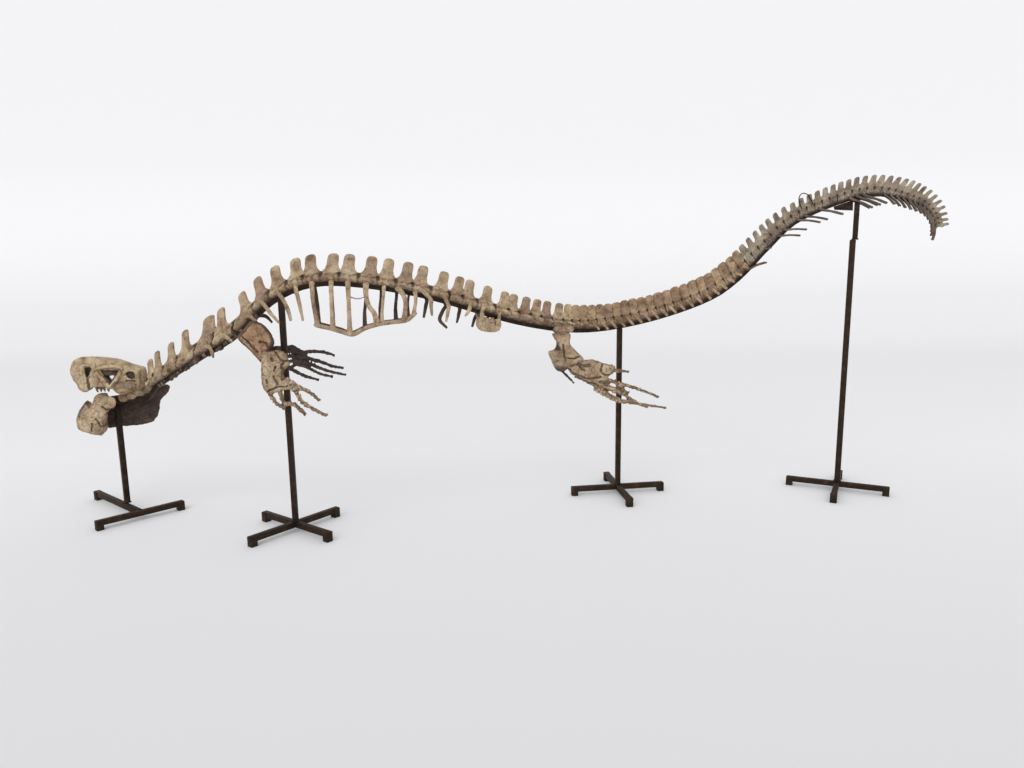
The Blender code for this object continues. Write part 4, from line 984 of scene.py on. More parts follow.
limbs = {
    "shoulder": mm((
        (-179, 74), (-142, 116), (-105, 158), (-42, 142), (0, 89), (11, 47), (-11, 11), (-42, -26),
        (-58, -61), (-95, -21), (-126, 16),
    )),
    "shoulderGrooves": mm((
        (((-147, 77), (-105, 30), (-72, -7)), 8), (((-59, 48), (-23, 39), (-12, 2)), 8),
        (((-100, 146), (-130, 116), (-166, 82)), 16),
    )),
    "forePlate": mm((
        (-42, -5), (-10, 6), (70, 4), (100, -42), (104, -68), (74, -104), (74, -126), (96, -160),
        (104, -198), (58, -204), (8, -222), (-22, -214), (-42, -184), (-47, -105),
    )),
    "foreGrooves": mm((
        (((21, 8), (65, -47), (106, -47)), 8), (((78, -47), (60, -78), (82, -102), (104, -120)), 9),
        (((20, -128), (39, -169)), 10), (((9, -35), (15, -46)), 9), (((-19, -150), (-17, -160)), 10),
        (((70, -100), (66, -142)), 14), (((-12, -206), (35, -182), (89, -183)), 8),
        (((30, -80), (18, -100)), 7),
    )),
    "foreDigits": mm((
        ((-16, -180), (5, -241), (37, -277), (73, -298)), ((45, -190), (58, -246), (70, -280)),
        ((66, -276), (110, -267), (147, -298), (183, -335)),
        ((85, -165), (141, -220), (157, -262), (215, -298), (293, -340)),
        ((80, -142), (152, -188), (209, -215), (257, -262)),
    )),
    # the wrist of the far paddle is a lattice of small bones
    "farForePlate": mm(((-100, 12), (-20, 26), (6, 26), (14, -30), (18, -100), (0, -120), (-80, -90))),
    "farWrist": mm((
        ((-5, 14), (50, 22), (104, -14)), ((0, -8), (60, -6), (128, -34)),
        ((0, -40), (50, -34), (118, -48)), ((0, -72), (40, -66), (88, -64)),
        ((5, -104), (30, -104), (60, -82)), ((46, 18), (52, -66)), ((88, 0), (90, -58)),
    )),
    "farForeDigits": mm((
        ((100, -16), (150, -9), (202, -11), (253, -22), (287, -39)),
        ((105, -42), (202, -73), (270, -101), (331, -112)),
        ((79, -62), (157, -90), (230, -124), (343, -152)),
        ((45, -80), (118, -101), (180, -140), (264, -163)),
        ((22, -106), (84, -146), (146, -169), (185, -180)),
    )),
    "thigh": mm((
        (-56, -2), (-50, -24), (-24, -62), (-2, -112), (12, -160), (30, -194), (70, -186), (126, -158),
        (82, -106), (46, -64), (48, -4),
    )),
    "thighGrooves": mm((
        (((6, -70), (10, -110), (17, -164)), 8), (((30, -150), (70, -150), (100, -140)), 6),
    )),
    "farThigh": mm((
        (-45, 0), (-34, -60), (-46, -108), (-84, -120), (-72, -160), (-34, -236), (16, -244), (52, -196),
        (42, -80), (45, 0),
    )),
    "hipBlade": mm(((-50, 4), (60, 4), (72, 36), (20, 50), (-44, 40))),
    "hindPlate": mm((
        (36, -196), (80, -180), (120, -160), (179, -156), (250, -180), (310, -195), (310, -234),
        (270, -262), (250, -310), (200, -326), (156, -306), (106, -275), (50, -240), (30, -214),
    )),
    "hindGrooves": mm((
        (((92, -184), (120, -196), (160, -190)), 12), (((100, -196), (128, -220)), 11),
        (((236, -180), (226, -228), (250, -252), (300, -250)), 9),
        (((38, -212), (89, -250), (149, -270), (226, -262)), 8), (((139, -287), (210, -312)), 8),
        (((222, -290), (262, -306)), 12), (((50, -226), (100, -264), (150, -296)), 8),
    )),
    "hindDigits": mm((
        ((260, -215), (330, -226), (396, -233)),
        ((228, -301), (284, -337), (355, -363), (406, -395), (456, -426), (507, -442)),
        ((300, -280), (340, -320), (384, -357)),
        ((182, -326), (253, -367), (329, -410), (370, -409), (406, -395)),
        ((235, -272), (338, -300), (455, -338), (571, -385)), ((240, -300), (310, -335), (396, -357)),
        ((185, -315), (285, -375), (370, -408), (500, -430), (612, -449)),
    )),
    "farHindPlate": mm((
        (20, -214), (80, -206), (140, -238), (150, -276), (110, -286), (80, -262), (44, -240),
    )),
    "farHindDigits": mm((
        ((-20, -208), (2, -245), (40, -285), (78, -327)), ((80, -280), (140, -302), (190, -322)),
        ((110, -255), (170, -270), (215, -290)),
    )),
    "fingerRadius": 0.0135, "fingerBone": 0.042, "wristRadius": 0.0125, "fingerJoint": 0.0012,
    # along a finger bone: (share of its length, share of its radius)
    "phalanx": ((0.0, 0.86), (0.10, 1.08), (0.28, 0.96), (0.50, 0.84), (0.72, 0.92), (0.90, 1.05),
                (1.0, 0.82)),
    # painted shade: the rim is darkened over this distance
    "rimReach": (0.002, 0.013),
    "shoulderLeft": mm((-1220, -421, 1046)), "shoulderRight": mm((-1292, -181, 1004)),
    "foreLeft": mm((-1220, -458, 1042)), "foreRight": mm((-1240, -136, 1008)),
    "hipLeft": mm((345, 42, 1064)), "hipRight": mm((359, 250, 1040)),
    "lean": 8.0,
}


def makeLimb(name, outline, joint, lean, halfThickness, digits=None, thickness=1.0, stain=0.0, mosaic=0.0,
             wrist=None, rim=0.0, stainAt=None, grooves=None):
    # in its plane x runs towards the tail and z up; a positive lean carries the lower end to the right
    outline = limbs[outline]
    plane = Matrix.Translation(limbs[joint]) @ Matrix.Rotation(math.radians(lean), 4, "X")
    back = plane.inverted()

    def place(a, h, side):
        return plane @ Vector((a, side, h))

    # painted shade along the edge of the flat bone
    def paintedRimShade(spot):
        inPlane = back @ spot
        away = rimDistance(outline, Vector((inPlane.x, inPlane.z)))
        return rim * (1.0 - smoothStep(*limbs["rimReach"], away))

    parts = [(flatBone(outline, halfThickness, place), 0.5, stain)]
    for path in limbs.get(wrist, ()):
        corners = [place(a, h, 0.0) for a, h in path]
        parts.append((shaft(corners, [limbs["wristRadius"]] * len(corners)), dice.random(), stain))
    for k, path in enumerate(limbs.get(digits, ())):
        across = (k % 2 - 0.5) * halfThickness * 0.3
        parts += digitBones(path, plane, across, limbs["fingerRadius"] * thickness, stain)
    limb = fuse(name, parts, 0.0025, lumps=0.0035, pits=0.0014, mosaic=mosaic, soften=2,
                stainAt=stainAt or (paintedRimShade if rim else None))
    if grooves:
        carve(limb, plane, limbs[grooves], halfThickness * 0.5, 0.64)
    return limb


def thighShade(spot):
    # painted shade: the far thigh is darkened where it faces the hip, and at its lower end
    drop = limbs["hipRight"][2] - spot.z
    return 0.85 * max(1.0 - smoothStep(0.100, 0.118, drop), smoothStep(0.195, 0.225, drop))


lean = limbs["lean"]
limbRows = (
    # name, outline, joint, lean, half thickness, what else it has
    ("shoulder_left_bone", "shoulder", "shoulderLeft", 0.0, 0.018,
     {"mosaic": 0.003, "rim": 0.85, "grooves": "shoulderGrooves"}),
    ("shoulder_right_bone", "shoulder", "shoulderRight", 0.0, 0.018, {"stain": 0.2}),
    ("fore_paddle_left_bones", "forePlate", "foreLeft", -lean, 0.016,
     {"digits": "foreDigits", "thickness": 1.40, "mosaic": 0.0045, "rim": 0.35, "grooves": "foreGrooves"}),
    ("fore_paddle_right_bones", "farForePlate", "foreRight", lean, 0.014,
     {"digits": "farForeDigits", "thickness": 1.15, "mosaic": 0.003, "wrist": "farWrist"}),
    ("pelvis_left_bone", "hipBlade", "hipLeft", -lean, 0.010, {"rim": 0.5}),
    ("pelvis_right_bone", "hipBlade", "hipRight", lean, 0.010, {}),
    ("femur_left_bone", "thigh", "hipLeft", -lean, 0.020, {"rim": 0.45, "grooves": "thighGrooves"}),
    ("femur_right_bone", "farThigh", "hipRight", lean, 0.020, {"stainAt": thighShade}),
    ("hind_paddle_left_bones", "hindPlate", "hipLeft", -lean, 0.014,
     {"digits": "hindDigits", "thickness": 1.3, "mosaic": 0.005, "rim": 0.35, "grooves": "hindGrooves"}),
    ("hind_paddle_right_bones", "farHindPlate", "hipRight", lean, 0.012,
     {"digits": "farHindDigits", "thickness": 0.95, "mosaic": 0.003}),
)
print("limbs")
for *row, extras in limbRows:
    pieces[row[0].rsplit("_bone", 1)[0]] = makeLimb(*row, **extras)

loinBone = {
    "outline": mm((
        (2301, 58), (2283, 108), (2299, 137), (2344, 140), (2410, 118), (2430, 80), (2425, 60), (2370, 56),
    )),
    "halfWidth": 0.030,
    # prongs up to the vertebrae: (distance, drop), with dark openings left between them
    "prongs": mm((
        ((2306, 76), (2298, 30), (2316, -6)), ((2402, 78), (2408, 34), (2408, 0)), ((2362, 70), (2366, 48)),
    )),
    "prongSide": 0.040, "prongRadii": (0.017, 0.013, 0.015),
}
loinParts = [(flatBone(loinBone["outline"], loinBone["halfWidth"], lambda s, drop, side: hung(s, side, drop)),
              0.6, 0.0)]
for path in loinBone["prongs"]:
    for side in (-1.0, 1.0):
        corners = [hung(s, side * loinBone["prongSide"] * (1.0 if k else 0.75), drop)
                   for k, (s, drop) in enumerate(path)]
        loinParts.append((easedShaft(corners, loinBone["prongRadii"][:len(path)]), 0.6, 0.0))
pieces["loin_bone"] = fuse("loin_bone_piece", loinParts, 0.0025, lumps=0.004, mosaic=0.003)

# skull and jaws

head = {
    "outline": mm((
        (-34, 60), (-22, 70), (31, 88), (72, 109), (108, 124), (202, 141), (284, 147), (327, 137),
        (353, 107), (363, 67), (354, 23), (337, -6), (324, -42), (294, -61), (262, -47), (250, -37),
        (148, -46), (108, -86), (33, -68), (-34, -40),
    )),
    "halfWidth": mm(((-30, 80), (50, 98), (150, 84), (250, 62), (320, 50), (360, 36))),
    "roofNarrowing": 0.45, "roofHeight": 0.145,
    "openings": {
        "orbit": mm(((203, 66), (97, 62), (150, -26))),
        "nostril": mm(((284, 86), (246, 86), (248, 66), (268, 20), (280, 40))),
        "temple": mm(((68, 40), (44, 53), (16, 46), (14, 10), (34, 3), (56, 14))),
    },
    "sightHole": mm(((179, 26), (124, 26), (150, -17))), "sightTurn": 9.0, "sightRise": 0.10,
    "pocketDepth": 0.035, "plugCorner": 0.006,
    "teeth": mm((164, 184, 204, 224)), "toothSide": 0.80,
    "tooth": mm(((2, -30), (0, -46), (-3, -58), (-8, -62))), "toothRadii": (0.0085, 0.0080, 0.0060, 0.0024),
    "jawFrontOutline": mm((
        (238, -79), (264, -133), (276, -144), (296, -113), (322, -146), (346, -185), (355, -225),
        (349, -273), (314, -293), (228, -319), (204, -285), (204, -226), (179, -175), (135, -149),
        (131, -108), (150, -92), (191, -80),
    )),
    "jawFarOutline": mm((
        (226, -296), (142, -295), (65, -296), (-25, -285), (-68, -239), (-92, -148), (-134, -108),
        (-144, -60), (-94, -56), (-37, -74), (48, -99), (130, -99), (212, -117), (230, -198),
    )),
    # low ridges of bone: places, radius, tint
    "ridges": ((((0.226, 0.072), (0.200, 0.078), (0.150, 0.084), (0.098, 0.076), (0.078, 0.062)), 0.012, 0.8),
               (((0.222, 0.056), (0.190, 0.012), (0.155, -0.034), (0.118, 0.004), (0.088, 0.050)), 0.014, 0.9),
               (((0.250, 0.094), (0.288, 0.094), (0.300, 0.050), (0.290, 0.000)), 0.010, 0.7),
               (((0.010, 0.058), (0.000, 0.020), (0.000, -0.024), (0.016, -0.050)), 0.012, 0.5)),
    "ridgeSunk": 0.72,
    "grooves": mm(((((274, 60), (270, 20), (264, -34)), 10), (((62, -2), (20, -8)), 7))),
    "cheekHollow": mm(((((118, -30), (70, -26), (30, -40)), 30),)),
    "jawGrooves": mm((
        (((201, -148), (184, -163), (150, -162)), 8), (((267, -241), (269, -283)), 7),
        (((242, -215), (223, -256), (205, -264)), 8), (((298, -118), (322, -150), (342, -190)), 20),
    )),
    "jawSpread": 0.072, "jawFarInner": 0.104, "jawFront": 0.190, "jawTaper": (0.235, 0.355),
    "jawTipHalf": 0.036, "jawThickness": 0.034,
}


def skullHalf(a, h):
    half = valueAt(head["halfWidth"], a)
    return half * (1.0 - head["roofNarrowing"] * max(h, 0.0) / head["roofHeight"])


def windowPlug(outline, nearSide, farSide, taper=1.0, rise=0.0, skew=0.0):
    # a plug with rounded corners, for cutting an opening into the skull
    middle = middleOf(outline)
    plug = plate([middle + (Vector(p) - middle) * taper for p in outline], nearSide)
    drawOut(z=farSide - nearSide)
    bpy.ops.transform.resize(value=(1.0 / taper, 1.0 / taper, 1.0),
                             center_override=(middle.x, middle.y, farSide))
    bpy.ops.mesh.select_mode(type="EDGE")
    bpy.ops.mesh.select_all(action="DESELECT")
    objectMode()
    for edge in plug.data.edges:
        one, two = (plug.data.vertices[i].co for i in edge.vertices)
        edge.select = abs(one.z - two.z) > 0.001
    bpy.ops.object.mode_set(mode="EDIT")
    bpy.ops.mesh.bevel(offset=head["plugCorner"], segments=3, affect="EDGES", clamp_overlap=True)
    pointOutwards()
    objectMode()
    reshape(plug, lambda a, h, side: inHead(a + side * skew, side, h + side * rise))
    faceOutwards(plug)
    return plug


def headBlock(outline, widthAt, rounding=0.45, inset=0.86):
    # the side outline drawn on both sides to its own width at each place, with rounded shoulders
    outline = rounded(outline)
    middle = middleOf(outline)
    block = plate(outline, -1.0)
    for step in (rounding, 1.0 - rounding, 1.0 - rounding, rounding):
        drawOut(z=step)
    pointOutwards()
    objectMode()

    def place(a, h, side):
        near, far = widthAt(a, h)
        flat = middle + (Vector((a, h)) - middle) * (inset if abs(side) > 0.99 else 1.0)
        return inHead(flat.x, (near + far) / 2 + side * (far - near) / 2, flat.y)

    reshape(block, place)
    faceOutwards(block)
    return block


def cutWith(body, plug):
    modify(body, "window", "BOOLEAN", operation="DIFFERENCE", solver="EXACT", object=plug)
    applyAll(body)
    dropObject(plug)


def ridge(points, radius, side):
    # a low bony ridge on the side of the skull, through (a, h) points
    path = [inHead(a, side * (skullHalf(a, h) - radius * head["ridgeSunk"]), h) for a, h in points]
    return easedShaft(path, [radius * 0.5, *[radius] * (len(path) - 2), radius * 0.5])


print("skull")
cranium = headBlock(head["outline"], lambda a, h: (-skullHalf(a, h), skullHalf(a, h)))
for side in (1.0, -1.0):
    for outline in head["openings"].values():
        a, h = (sum(values) / len(outline) for values in zip(*outline))
        deep = skullHalf(a, h) - head["pocketDepth"]
        cutWith(cranium, windowPlug(outline, side * deep, side * 0.2, 0.86))
cutWith(cranium, windowPlug(head["sightHole"], -0.2, 0.2, 1.0, head["sightRise"],
                            math.tan(math.radians(head["sightTurn"]))))
skullParts = [(cranium, 0.62, 0.0)]
for side in (1.0, -1.0):
    for a in head["teeth"]:
        wide = valueAt(head["halfWidth"], a) * head["toothSide"]
        path = [inHead(a + shift, side * wide, h) for shift, h in head["tooth"]]
        skullParts.append((shaft(path, head["toothRadii"]), 0.5, 0.75))
    for points, radius, tint in head["ridges"]:
        skullParts.append((ridge(points, radius, side), tint, 0.0))


def openingShade(spot):
    # painted shade: the hollows behind the openings are darkened
    a, side, h = headPlace.inverted() @ spot
    deep = skullHalf(a, h) - abs(side)
    if not any(insideOutline(outline, (a, h)) for outline in head["openings"].values()):
        return 0.0
    return 0.85 * smoothStep(0.006, 0.020, deep)


def jawFrontSpan(a, h):
    low, high = head["jawTaper"]
    part = min(max((a - low) / (high - low), 0.0), 1.0)
    far = head["jawSpread"] - (head["jawSpread"] - head["jawTipHalf"]) * part
    if a < head["jawFront"]:
        return head["jawSpread"] - head["jawThickness"], far
    return -head["jawFarInner"] + 0.002 + (head["jawFarInner"] - head["jawTipHalf"]) * part, far


def jawFarSpan(a, h):
    return -head["jawFarInner"] - head["jawThickness"], -head["jawFarInner"] - 0.001


pieces["skull"] = fuse("skull_bone", skullParts, 0.0026, lumps=0.0045, mosaic=0.002, soften=4,
                       stainAt=openingShade)
# painted shade: the skull's grooves and its cheek hollow are darkened
carve(pieces["skull"], headPlace, head["grooves"], 0.009, 0.7)
carve(pieces["skull"], headPlace, head["cheekHollow"], 0.010, 0.38)
jaws = (("jaw_left", "jawFrontOutline", jawFrontSpan, 0.55, 0.005, 0.0030),
        ("jaw_right", "jawFarOutline", jawFarSpan, 0.4, 0.006, 0.0040))
for node, outline, span, tint, lumps, mosaic in jaws:
    block = headBlock(head[outline], span, 0.3, 0.90)
    pieces[node] = fuse(node + "_bone", [(block, tint, 0.0)], 0.0026, lumps=lumps, pits=0.0014, mosaic=mosaic)
carve(pieces["jaw_left"], headPlace, head["jawGrooves"], 0.006, 0.7)

# steel stand

stand = {
    "barSide": 0.032, "footSide": 0.040, "footHeight": 0.058, "postSide": 0.030, "tailPostSide": 0.034,
    "softEdge": 0.0025, "footSunk": 0.002, "weldRadius": 0.0045, "weldRise": 0.004, "weldDrops": 7,
    # plan place and turn in degrees
    "posts": {
        "stand_head_post": (-2.309, 0.042, 45.0), "stand_chest_post": (-1.185, -0.316, 0.0),
        "stand_hip_post": (0.717, 0.284, 8.0), "stand_tail_post": (2.124, 0.284, -26.0),
        "stand_tail_upper_post": (2.136, 0.284, -26.0),
    },
    # plan middle, then (degrees, reach one way, reach the other) of each bar
    "crosses": {
        "stand_head_cross": ((-2.161, -0.100), ((45.0, 0.25, 0.25), (140.0, 0.00, 0.61))),
        "stand_chest_cross": ((-1.185, -0.316), ((52.0, 0.30, 0.30), (-37.0, 0.29, 0.29))),
        "stand_hip_cross": ((0.717, 0.284), ((8.0, 0.30, 0.30), (-82.0, 0.28, 0.28))),
        "stand_tail_cross": ((2.122, 0.284), ((-26.0, 0.305, 0.305), (-116.0, 0.28, 0.28))),
    },
    "hoop": mm(((4556, 32), (4558, 70), (4566, 100), (4588, 116), (4612, 100), (4620, 70), (4622, 32))),
    "hoopSide": -0.0180, "hoopRadius": 0.003,
}


def squareTube(middle, size, turn):
    tube = primitive(bpy.ops.mesh.primitive_cube_add, size=1.0, location=middle, rotation=(0.0, 0.0, turn),
                     scale=size)
    editAll(tube, "EDGE")
    bpy.ops.mesh.bevel(offset=stand["softEdge"], segments=3, affect="EDGES")
    objectMode()
    return tube


def weldBead(middle, side, turn):
    # a run of weld round a square tube, laid in overlapping drops
    radius = stand["weldRadius"]
    half = side / 2 + radius * 0.25
    spin = Matrix.Rotation(turn, 3, "Z")
    corners = [spin @ Vector((a * half, b * half, 0.0)) for a, b in ((-1, -1), (1, -1), (1, 1), (-1, 1))]
    drops = stand["weldDrops"]
    route = [middle + one.lerp(two, t / drops)
             for one, two in zip(corners, corners[1:] + corners[:1]) for t in range(drops)]
    radii = [radius * (1.0 if t % 2 else 0.82) for _ in corners for t in range(drops)]
    return shaft([*route, route[0] + upward * 0.0002], [*radii, radii[0]], sides=8)


def finishSteel(name, parts):
    piece = joined(name, parts)
    piece.data.materials.clear()
    selectOnly(piece)
    bpy.ops.object.shade_smooth_by_angle(angle=math.radians(40.0))
    print("  ", name, len(piece.data.polygons), "faces")
    return piece


print("stand")
for node, (plan, arms) in stand["crosses"].items():
    barSide, footSide = stand["barSide"], stand["footSide"]
    height = stand["footHeight"] - stand["footSunk"]
    parts = []
    for degrees, behind, ahead in arms:
        turn = math.radians(degrees)
        way = Vector((math.cos(turn), math.sin(turn), 0.0))
        middle = Vector((*plan, stand["footHeight"] - barSide / 2))
        parts.append(squareTube(middle + way * (ahead - behind) / 2,
                                (behind + ahead, barSide, barSide), turn))
        for reach in (-behind, ahead):
            if reach:
                inset = math.copysign(footSide / 2 - stand["footSunk"], reach)
                foot = Vector((*plan, 0.0)) + way * (reach - inset)
                parts.append(squareTube(foot + upward * height / 2, (footSide, footSide, height), turn))
    pieces[node] = finishSteel(node + "_steel", parts)

for node, (x, y, degrees) in stand["posts"].items():
    low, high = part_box(node)
    side = stand["tailPostSide"] if node == "stand_tail_post" else stand["postSide"]
    turn = math.radians(degrees)
    tube = squareTube(Vector((x, y, (low.z + high.z) / 2)), (side, side, high.z - low.z), turn)
    bead = weldBead(Vector((x, y, low.z + stand["weldRise"])), side, turn)
    pieces[node] = finishSteel(node + "_steel", [tube, bead])

hoopPath = [beside(s, stand["hoopSide"], h) for s, h in stand["hoop"]]
hoop = easedShaft(hoopPath, [stand["hoopRadius"]] * len(hoopPath))
pieces["stand_tail_hoop"] = finishSteel("stand_tail_hoop_wire", [hoop])

# the long bar and the web keep the solids' own shape, with softened edges
for node in ("stand_backbone_bar", "stand_tail_gusset"):
    bar = copyOf(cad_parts[node], node + "_steel")
    bar.parent = None
    for key in [k for k in bar.keys() if k.startswith("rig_")]:
        del bar[key]
    editAll(bar, "EDGE")
    bpy.ops.mesh.remove_doubles(threshold=0.0002)
    bpy.ops.mesh.dissolve_limited(angle_limit=math.radians(1.0))
    objectMode()
    modify(bar, "softened edges", "BEVEL", width=0.0018, segments=2, limit_method="ANGLE",
           angle_limit=math.radians(50.0))
    applyAll(bar)
    pieces[node] = finishSteel(node + "_steel", [bar])

# materials

white, black = (1.0, 1.0, 1.0, 1.0), (0.0, 0.0, 0.0, 1.0)


def addNode(tree, kind, settings=None, links=None):
    # one node with its settings (attribute or input name to value) and links (input to output socket)
    node = tree.nodes.new(kind)
    for key, value in (settings or {}).items():
        if isinstance(key, str) and hasattr(node, key):
            setattr(node, key, value)
        else:
            node.inputs[key].default_value = value
    for key, socket in (links or {}).items():
        tree.links.new(node.inputs[key], socket)
    return node


def rampStops(node, stops):
    ramp = node.color_ramp
    while len(ramp.elements) > 1:
        ramp.elements.remove(ramp.elements[-1])
    for k, (place, colour) in enumerate(stops):
        element = ramp.elements[0] if k == 0 else ramp.elements.new(place)
        element.position = place
        element.color = colour if isinstance(colour, tuple) else toLinear(colour)
    return node


def newMaterial(name):
    material = bpy.data.materials.new(name)
    material.use_nodes = True
    return material, material.node_tree, material.node_tree.nodes["Principled BSDF"]


def linkAll(tree, shader, sockets):
    for name, socket in sockets.items():
        tree.links.new(shader.inputs[name], socket)


def permineralisedBone(name, look):
    # Fossil bone: mineral-filled, so dull and stony, with a mottled crust, fine fibres and dark cracks.
    material, tree, shader = newMaterial(name)
    shader.inputs["IOR"].default_value = 1.55
    place = addNode(tree, "ShaderNodeTexCoord").outputs["Object"]
    # mottling 70 mm across
    mottle = addNode(tree, "ShaderNodeTexNoise", {"Scale": 1 / 0.070, "Detail": 6.0, "Roughness": 0.62},
                     {"Vector": place})
    base = rampStops(addNode(tree, "ShaderNodeValToRGB", links={"Fac": mottle.outputs["Fac"]}),
                     ((0.30, look["dark"]), (0.46, look["mid"]), (0.60, look["light"]), (0.74, look["pale"])))
    # each bone has its own tint
    tint = addNode(tree, "ShaderNodeAttribute", {"attribute_name": "boneTint"}).outputs["Fac"]
    tone, hue = (addNode(tree, "ShaderNodeMapRange",
                         {"To Min": look[what + "Low"], "To Max": look[what + "High"]},
                         {"Value": tint}).outputs["Result"] for what in ("tone", "hue"))
    toned = addNode(tree, "ShaderNodeHueSaturation", {"Saturation": look["saturation"]},
                    {"Color": base.outputs["Color"], "Value": tone, "Hue": hue})
    # fibres 1.2 mm across, drawn 3 mm so that they show
    fibre = addNode(tree, "ShaderNodeTexNoise", {"Scale": 1 / 0.006, "Detail": 5.0, "Roughness": 0.7},
                    {"Vector": place})
    fibreRamp = rampStops(addNode(tree, "ShaderNodeValToRGB", links={"Fac": fibre.outputs["Fac"]}),
                          ((0.34, (0.58, 0.53, 0.48, 1.0)), (0.62, white)))
    grained = addNode(tree, "ShaderNodeMix", {"data_type": "RGBA", "blend_type": "MULTIPLY", 0: 0.55},
                      {6: toned.outputs["Color"], 7: fibreRamp.outputs["Color"]})
    # cracks 25 to 35 mm apart, about 1 mm wide
    wander = addNode(tree, "ShaderNodeTexNoise", {"Scale": 1 / 0.020, "Detail": 3.0}, {"Vector": place})
    bent = addNode(tree, "ShaderNodeMix", {"data_type": "VECTOR", 0: 0.035},
                   {4: place, 5: wander.outputs["Color"]})
    crack = addNode(tree, "ShaderNodeTexVoronoi",
                    {"feature": "DISTANCE_TO_EDGE", "Scale": 1 / look["crackEvery"]},
                    {"Vector": bent.outputs[1]})
    crackRamp = rampStops(addNode(tree, "ShaderNodeValToRGB", links={"Fac": crack.outputs["Distance"]}),
                          ((0.0, white), (look["crackWidth"], black)))
    cracked = addNode(tree, "ShaderNodeMix", {"data_type": "RGBA", 7: toLinear(look["crackColour"])},
                      {0: crackRamp.outputs["Color"], 6: grained.outputs[2]})
    # hollows are darker: dark matrix held there, and painted shade where the surface curves in
    curve = addNode(tree, "ShaderNodeNewGeometry").outputs["Pointiness"]
    hollow = rampStops(addNode(tree, "ShaderNodeValToRGB", links={"Fac": curve}),
                       ((0.44, white), (0.50, black)))
    hollowMatrixAndShade = addNode(tree, "ShaderNodeMix", {"data_type": "RGBA", 7: toLinear(look["hollowMatrixAndShadeColour"])},
                    {0: hollow.outputs["Color"], 6: cracked.outputs[2]})
    # stained bones and filler, and the painted shade that the same attribute carries
    stain = addNode(tree, "ShaderNodeAttribute", {"attribute_name": "boneStainAndShade"}).outputs["Fac"]
    stainedAndShaded = addNode(tree, "ShaderNodeMix", {"data_type": "RGBA", 7: toLinear(look["stainAndShadeColour"])},
                      {0: stain, 6: hollowMatrixAndShade.outputs[2]})
    rough = addNode(tree, "ShaderNodeMapRange", {"To Min": 0.62, "To Max": 0.88},
                    {"Value": fibre.outputs["Fac"]})
    fibreBump = addNode(tree, "ShaderNodeBump", {"Strength": 0.45, "Distance": 0.0012},
                        {"Height": fibre.outputs["Fac"]})
    crackBump = addNode(tree, "ShaderNodeBump", {"Strength": 0.6, "Distance": 0.002, "invert": True},
                        {"Height": crackRamp.outputs["Color"], "Normal": fibreBump.outputs["Normal"]})
    linkAll(tree, shader, {"Base Color": stainedAndShaded.outputs[2], "Roughness": rough.outputs["Result"],
                           "Normal": crackBump.outputs["Normal"]})
    return material


def millSteel(name):
    # Old hot-rolled steel tube: nearly black oxide scale, with brown rust blooms and rubbed bright specks.
    material, tree, shader = newMaterial(name)
    shader.inputs["Metallic"].default_value = 0.85
    place = addNode(tree, "ShaderNodeTexCoord").outputs["Object"]
    # blooms 45 mm across, specks 8 mm across
    bloom = addNode(tree, "ShaderNodeTexNoise", {"Scale": 1 / 0.045, "Detail": 8.0, "Roughness": 0.7},
                    {"Vector": place})
    colour = rampStops(addNode(tree, "ShaderNodeValToRGB", links={"Fac": bloom.outputs["Fac"]}),
                       ((0.40, "#2d2520"), (0.54, "#3c2f25"), (0.64, "#543b2d"), (0.76, "#70513a")))
    speck = addNode(tree, "ShaderNodeTexNoise", {"Scale": 1 / 0.008, "Detail": 4.0, "Roughness": 0.6},
                    {"Vector": place})
    speckRamp = rampStops(addNode(tree, "ShaderNodeValToRGB", links={"Fac": speck.outputs["Fac"]}),
                          ((0.66, black), (0.74, white)))
    mixed = addNode(tree, "ShaderNodeMix", {"data_type": "RGBA", 7: toLinear("#8a7460")},
                    {0: speckRamp.outputs["Color"], 6: colour.outputs["Color"]})
    rough = addNode(tree, "ShaderNodeMapRange", {"To Min": 0.50, "To Max": 0.85},
                    {"Value": bloom.outputs["Fac"]})
    bump = addNode(tree, "ShaderNodeBump", {"Strength": 0.5, "Distance": 0.0010},
                   {"Height": speck.outputs["Fac"]})
    linkAll(tree, shader, {"Base Color": mixed.outputs[2], "Roughness": rough.outputs["Result"],
                           "Normal": bump.outputs["Normal"]})
    return material


print("materials")
bodyLook = {"dark": "#7b5d41", "mid": "#ab8c6d", "light": "#c5aa8a", "pale": "#d5c1a5", "toneLow": 0.83,
            "toneHigh": 1.10, "hueLow": 0.498, "hueHigh": 0.517, "saturation": 0.93, "crackEvery": 0.045,
            "crackWidth": 0.026, "crackColour": "#4c3626", "hollowMatrixAndShadeColour": "#4e3a2c",
            "stainAndShadeColour": "#33221b"}
looks = {
    "bone": bodyLook,
    "tail_bone": {**bodyLook, "dark": "#6c5033", "mid": "#9d7b5c", "light": "#b89978", "pale": "#cbb394",
                  "stainAndShadeColour": "#3a2a26"},
    # the end of the tail is greyer
    "tail_tip_bone": {**bodyLook, "dark": "#5f4c3a", "mid": "#8d7963", "light": "#a8967f", "pale": "#bfb09a",
                      "saturation": 0.85, "stainAndShadeColour": "#3c2d2b"},
    # painted shade: a darker copy of the bone colour, for the far-side pieces that stand in shade
    "dark_bone": {**bodyLook, "dark": "#2a1e17", "mid": "#412e22", "light": "#5a4231", "pale": "#7b6148",
                  "hollowMatrixAndShadeColour": "#1f1612", "crackColour": "#1b130f"},
    "shoulder_bone": {**bodyLook, "dark": "#6e4c33", "mid": "#9d7452", "light": "#b58b66", "pale": "#c6a17b",
                      "crackEvery": 0.060},
}
materials = {slot: permineralisedBone(f"permineralised {slot.replace('_', ' ')}", look)
             for slot, look in looks.items()}
materials["steel"] = millSteel("hot-rolled steel with rust")

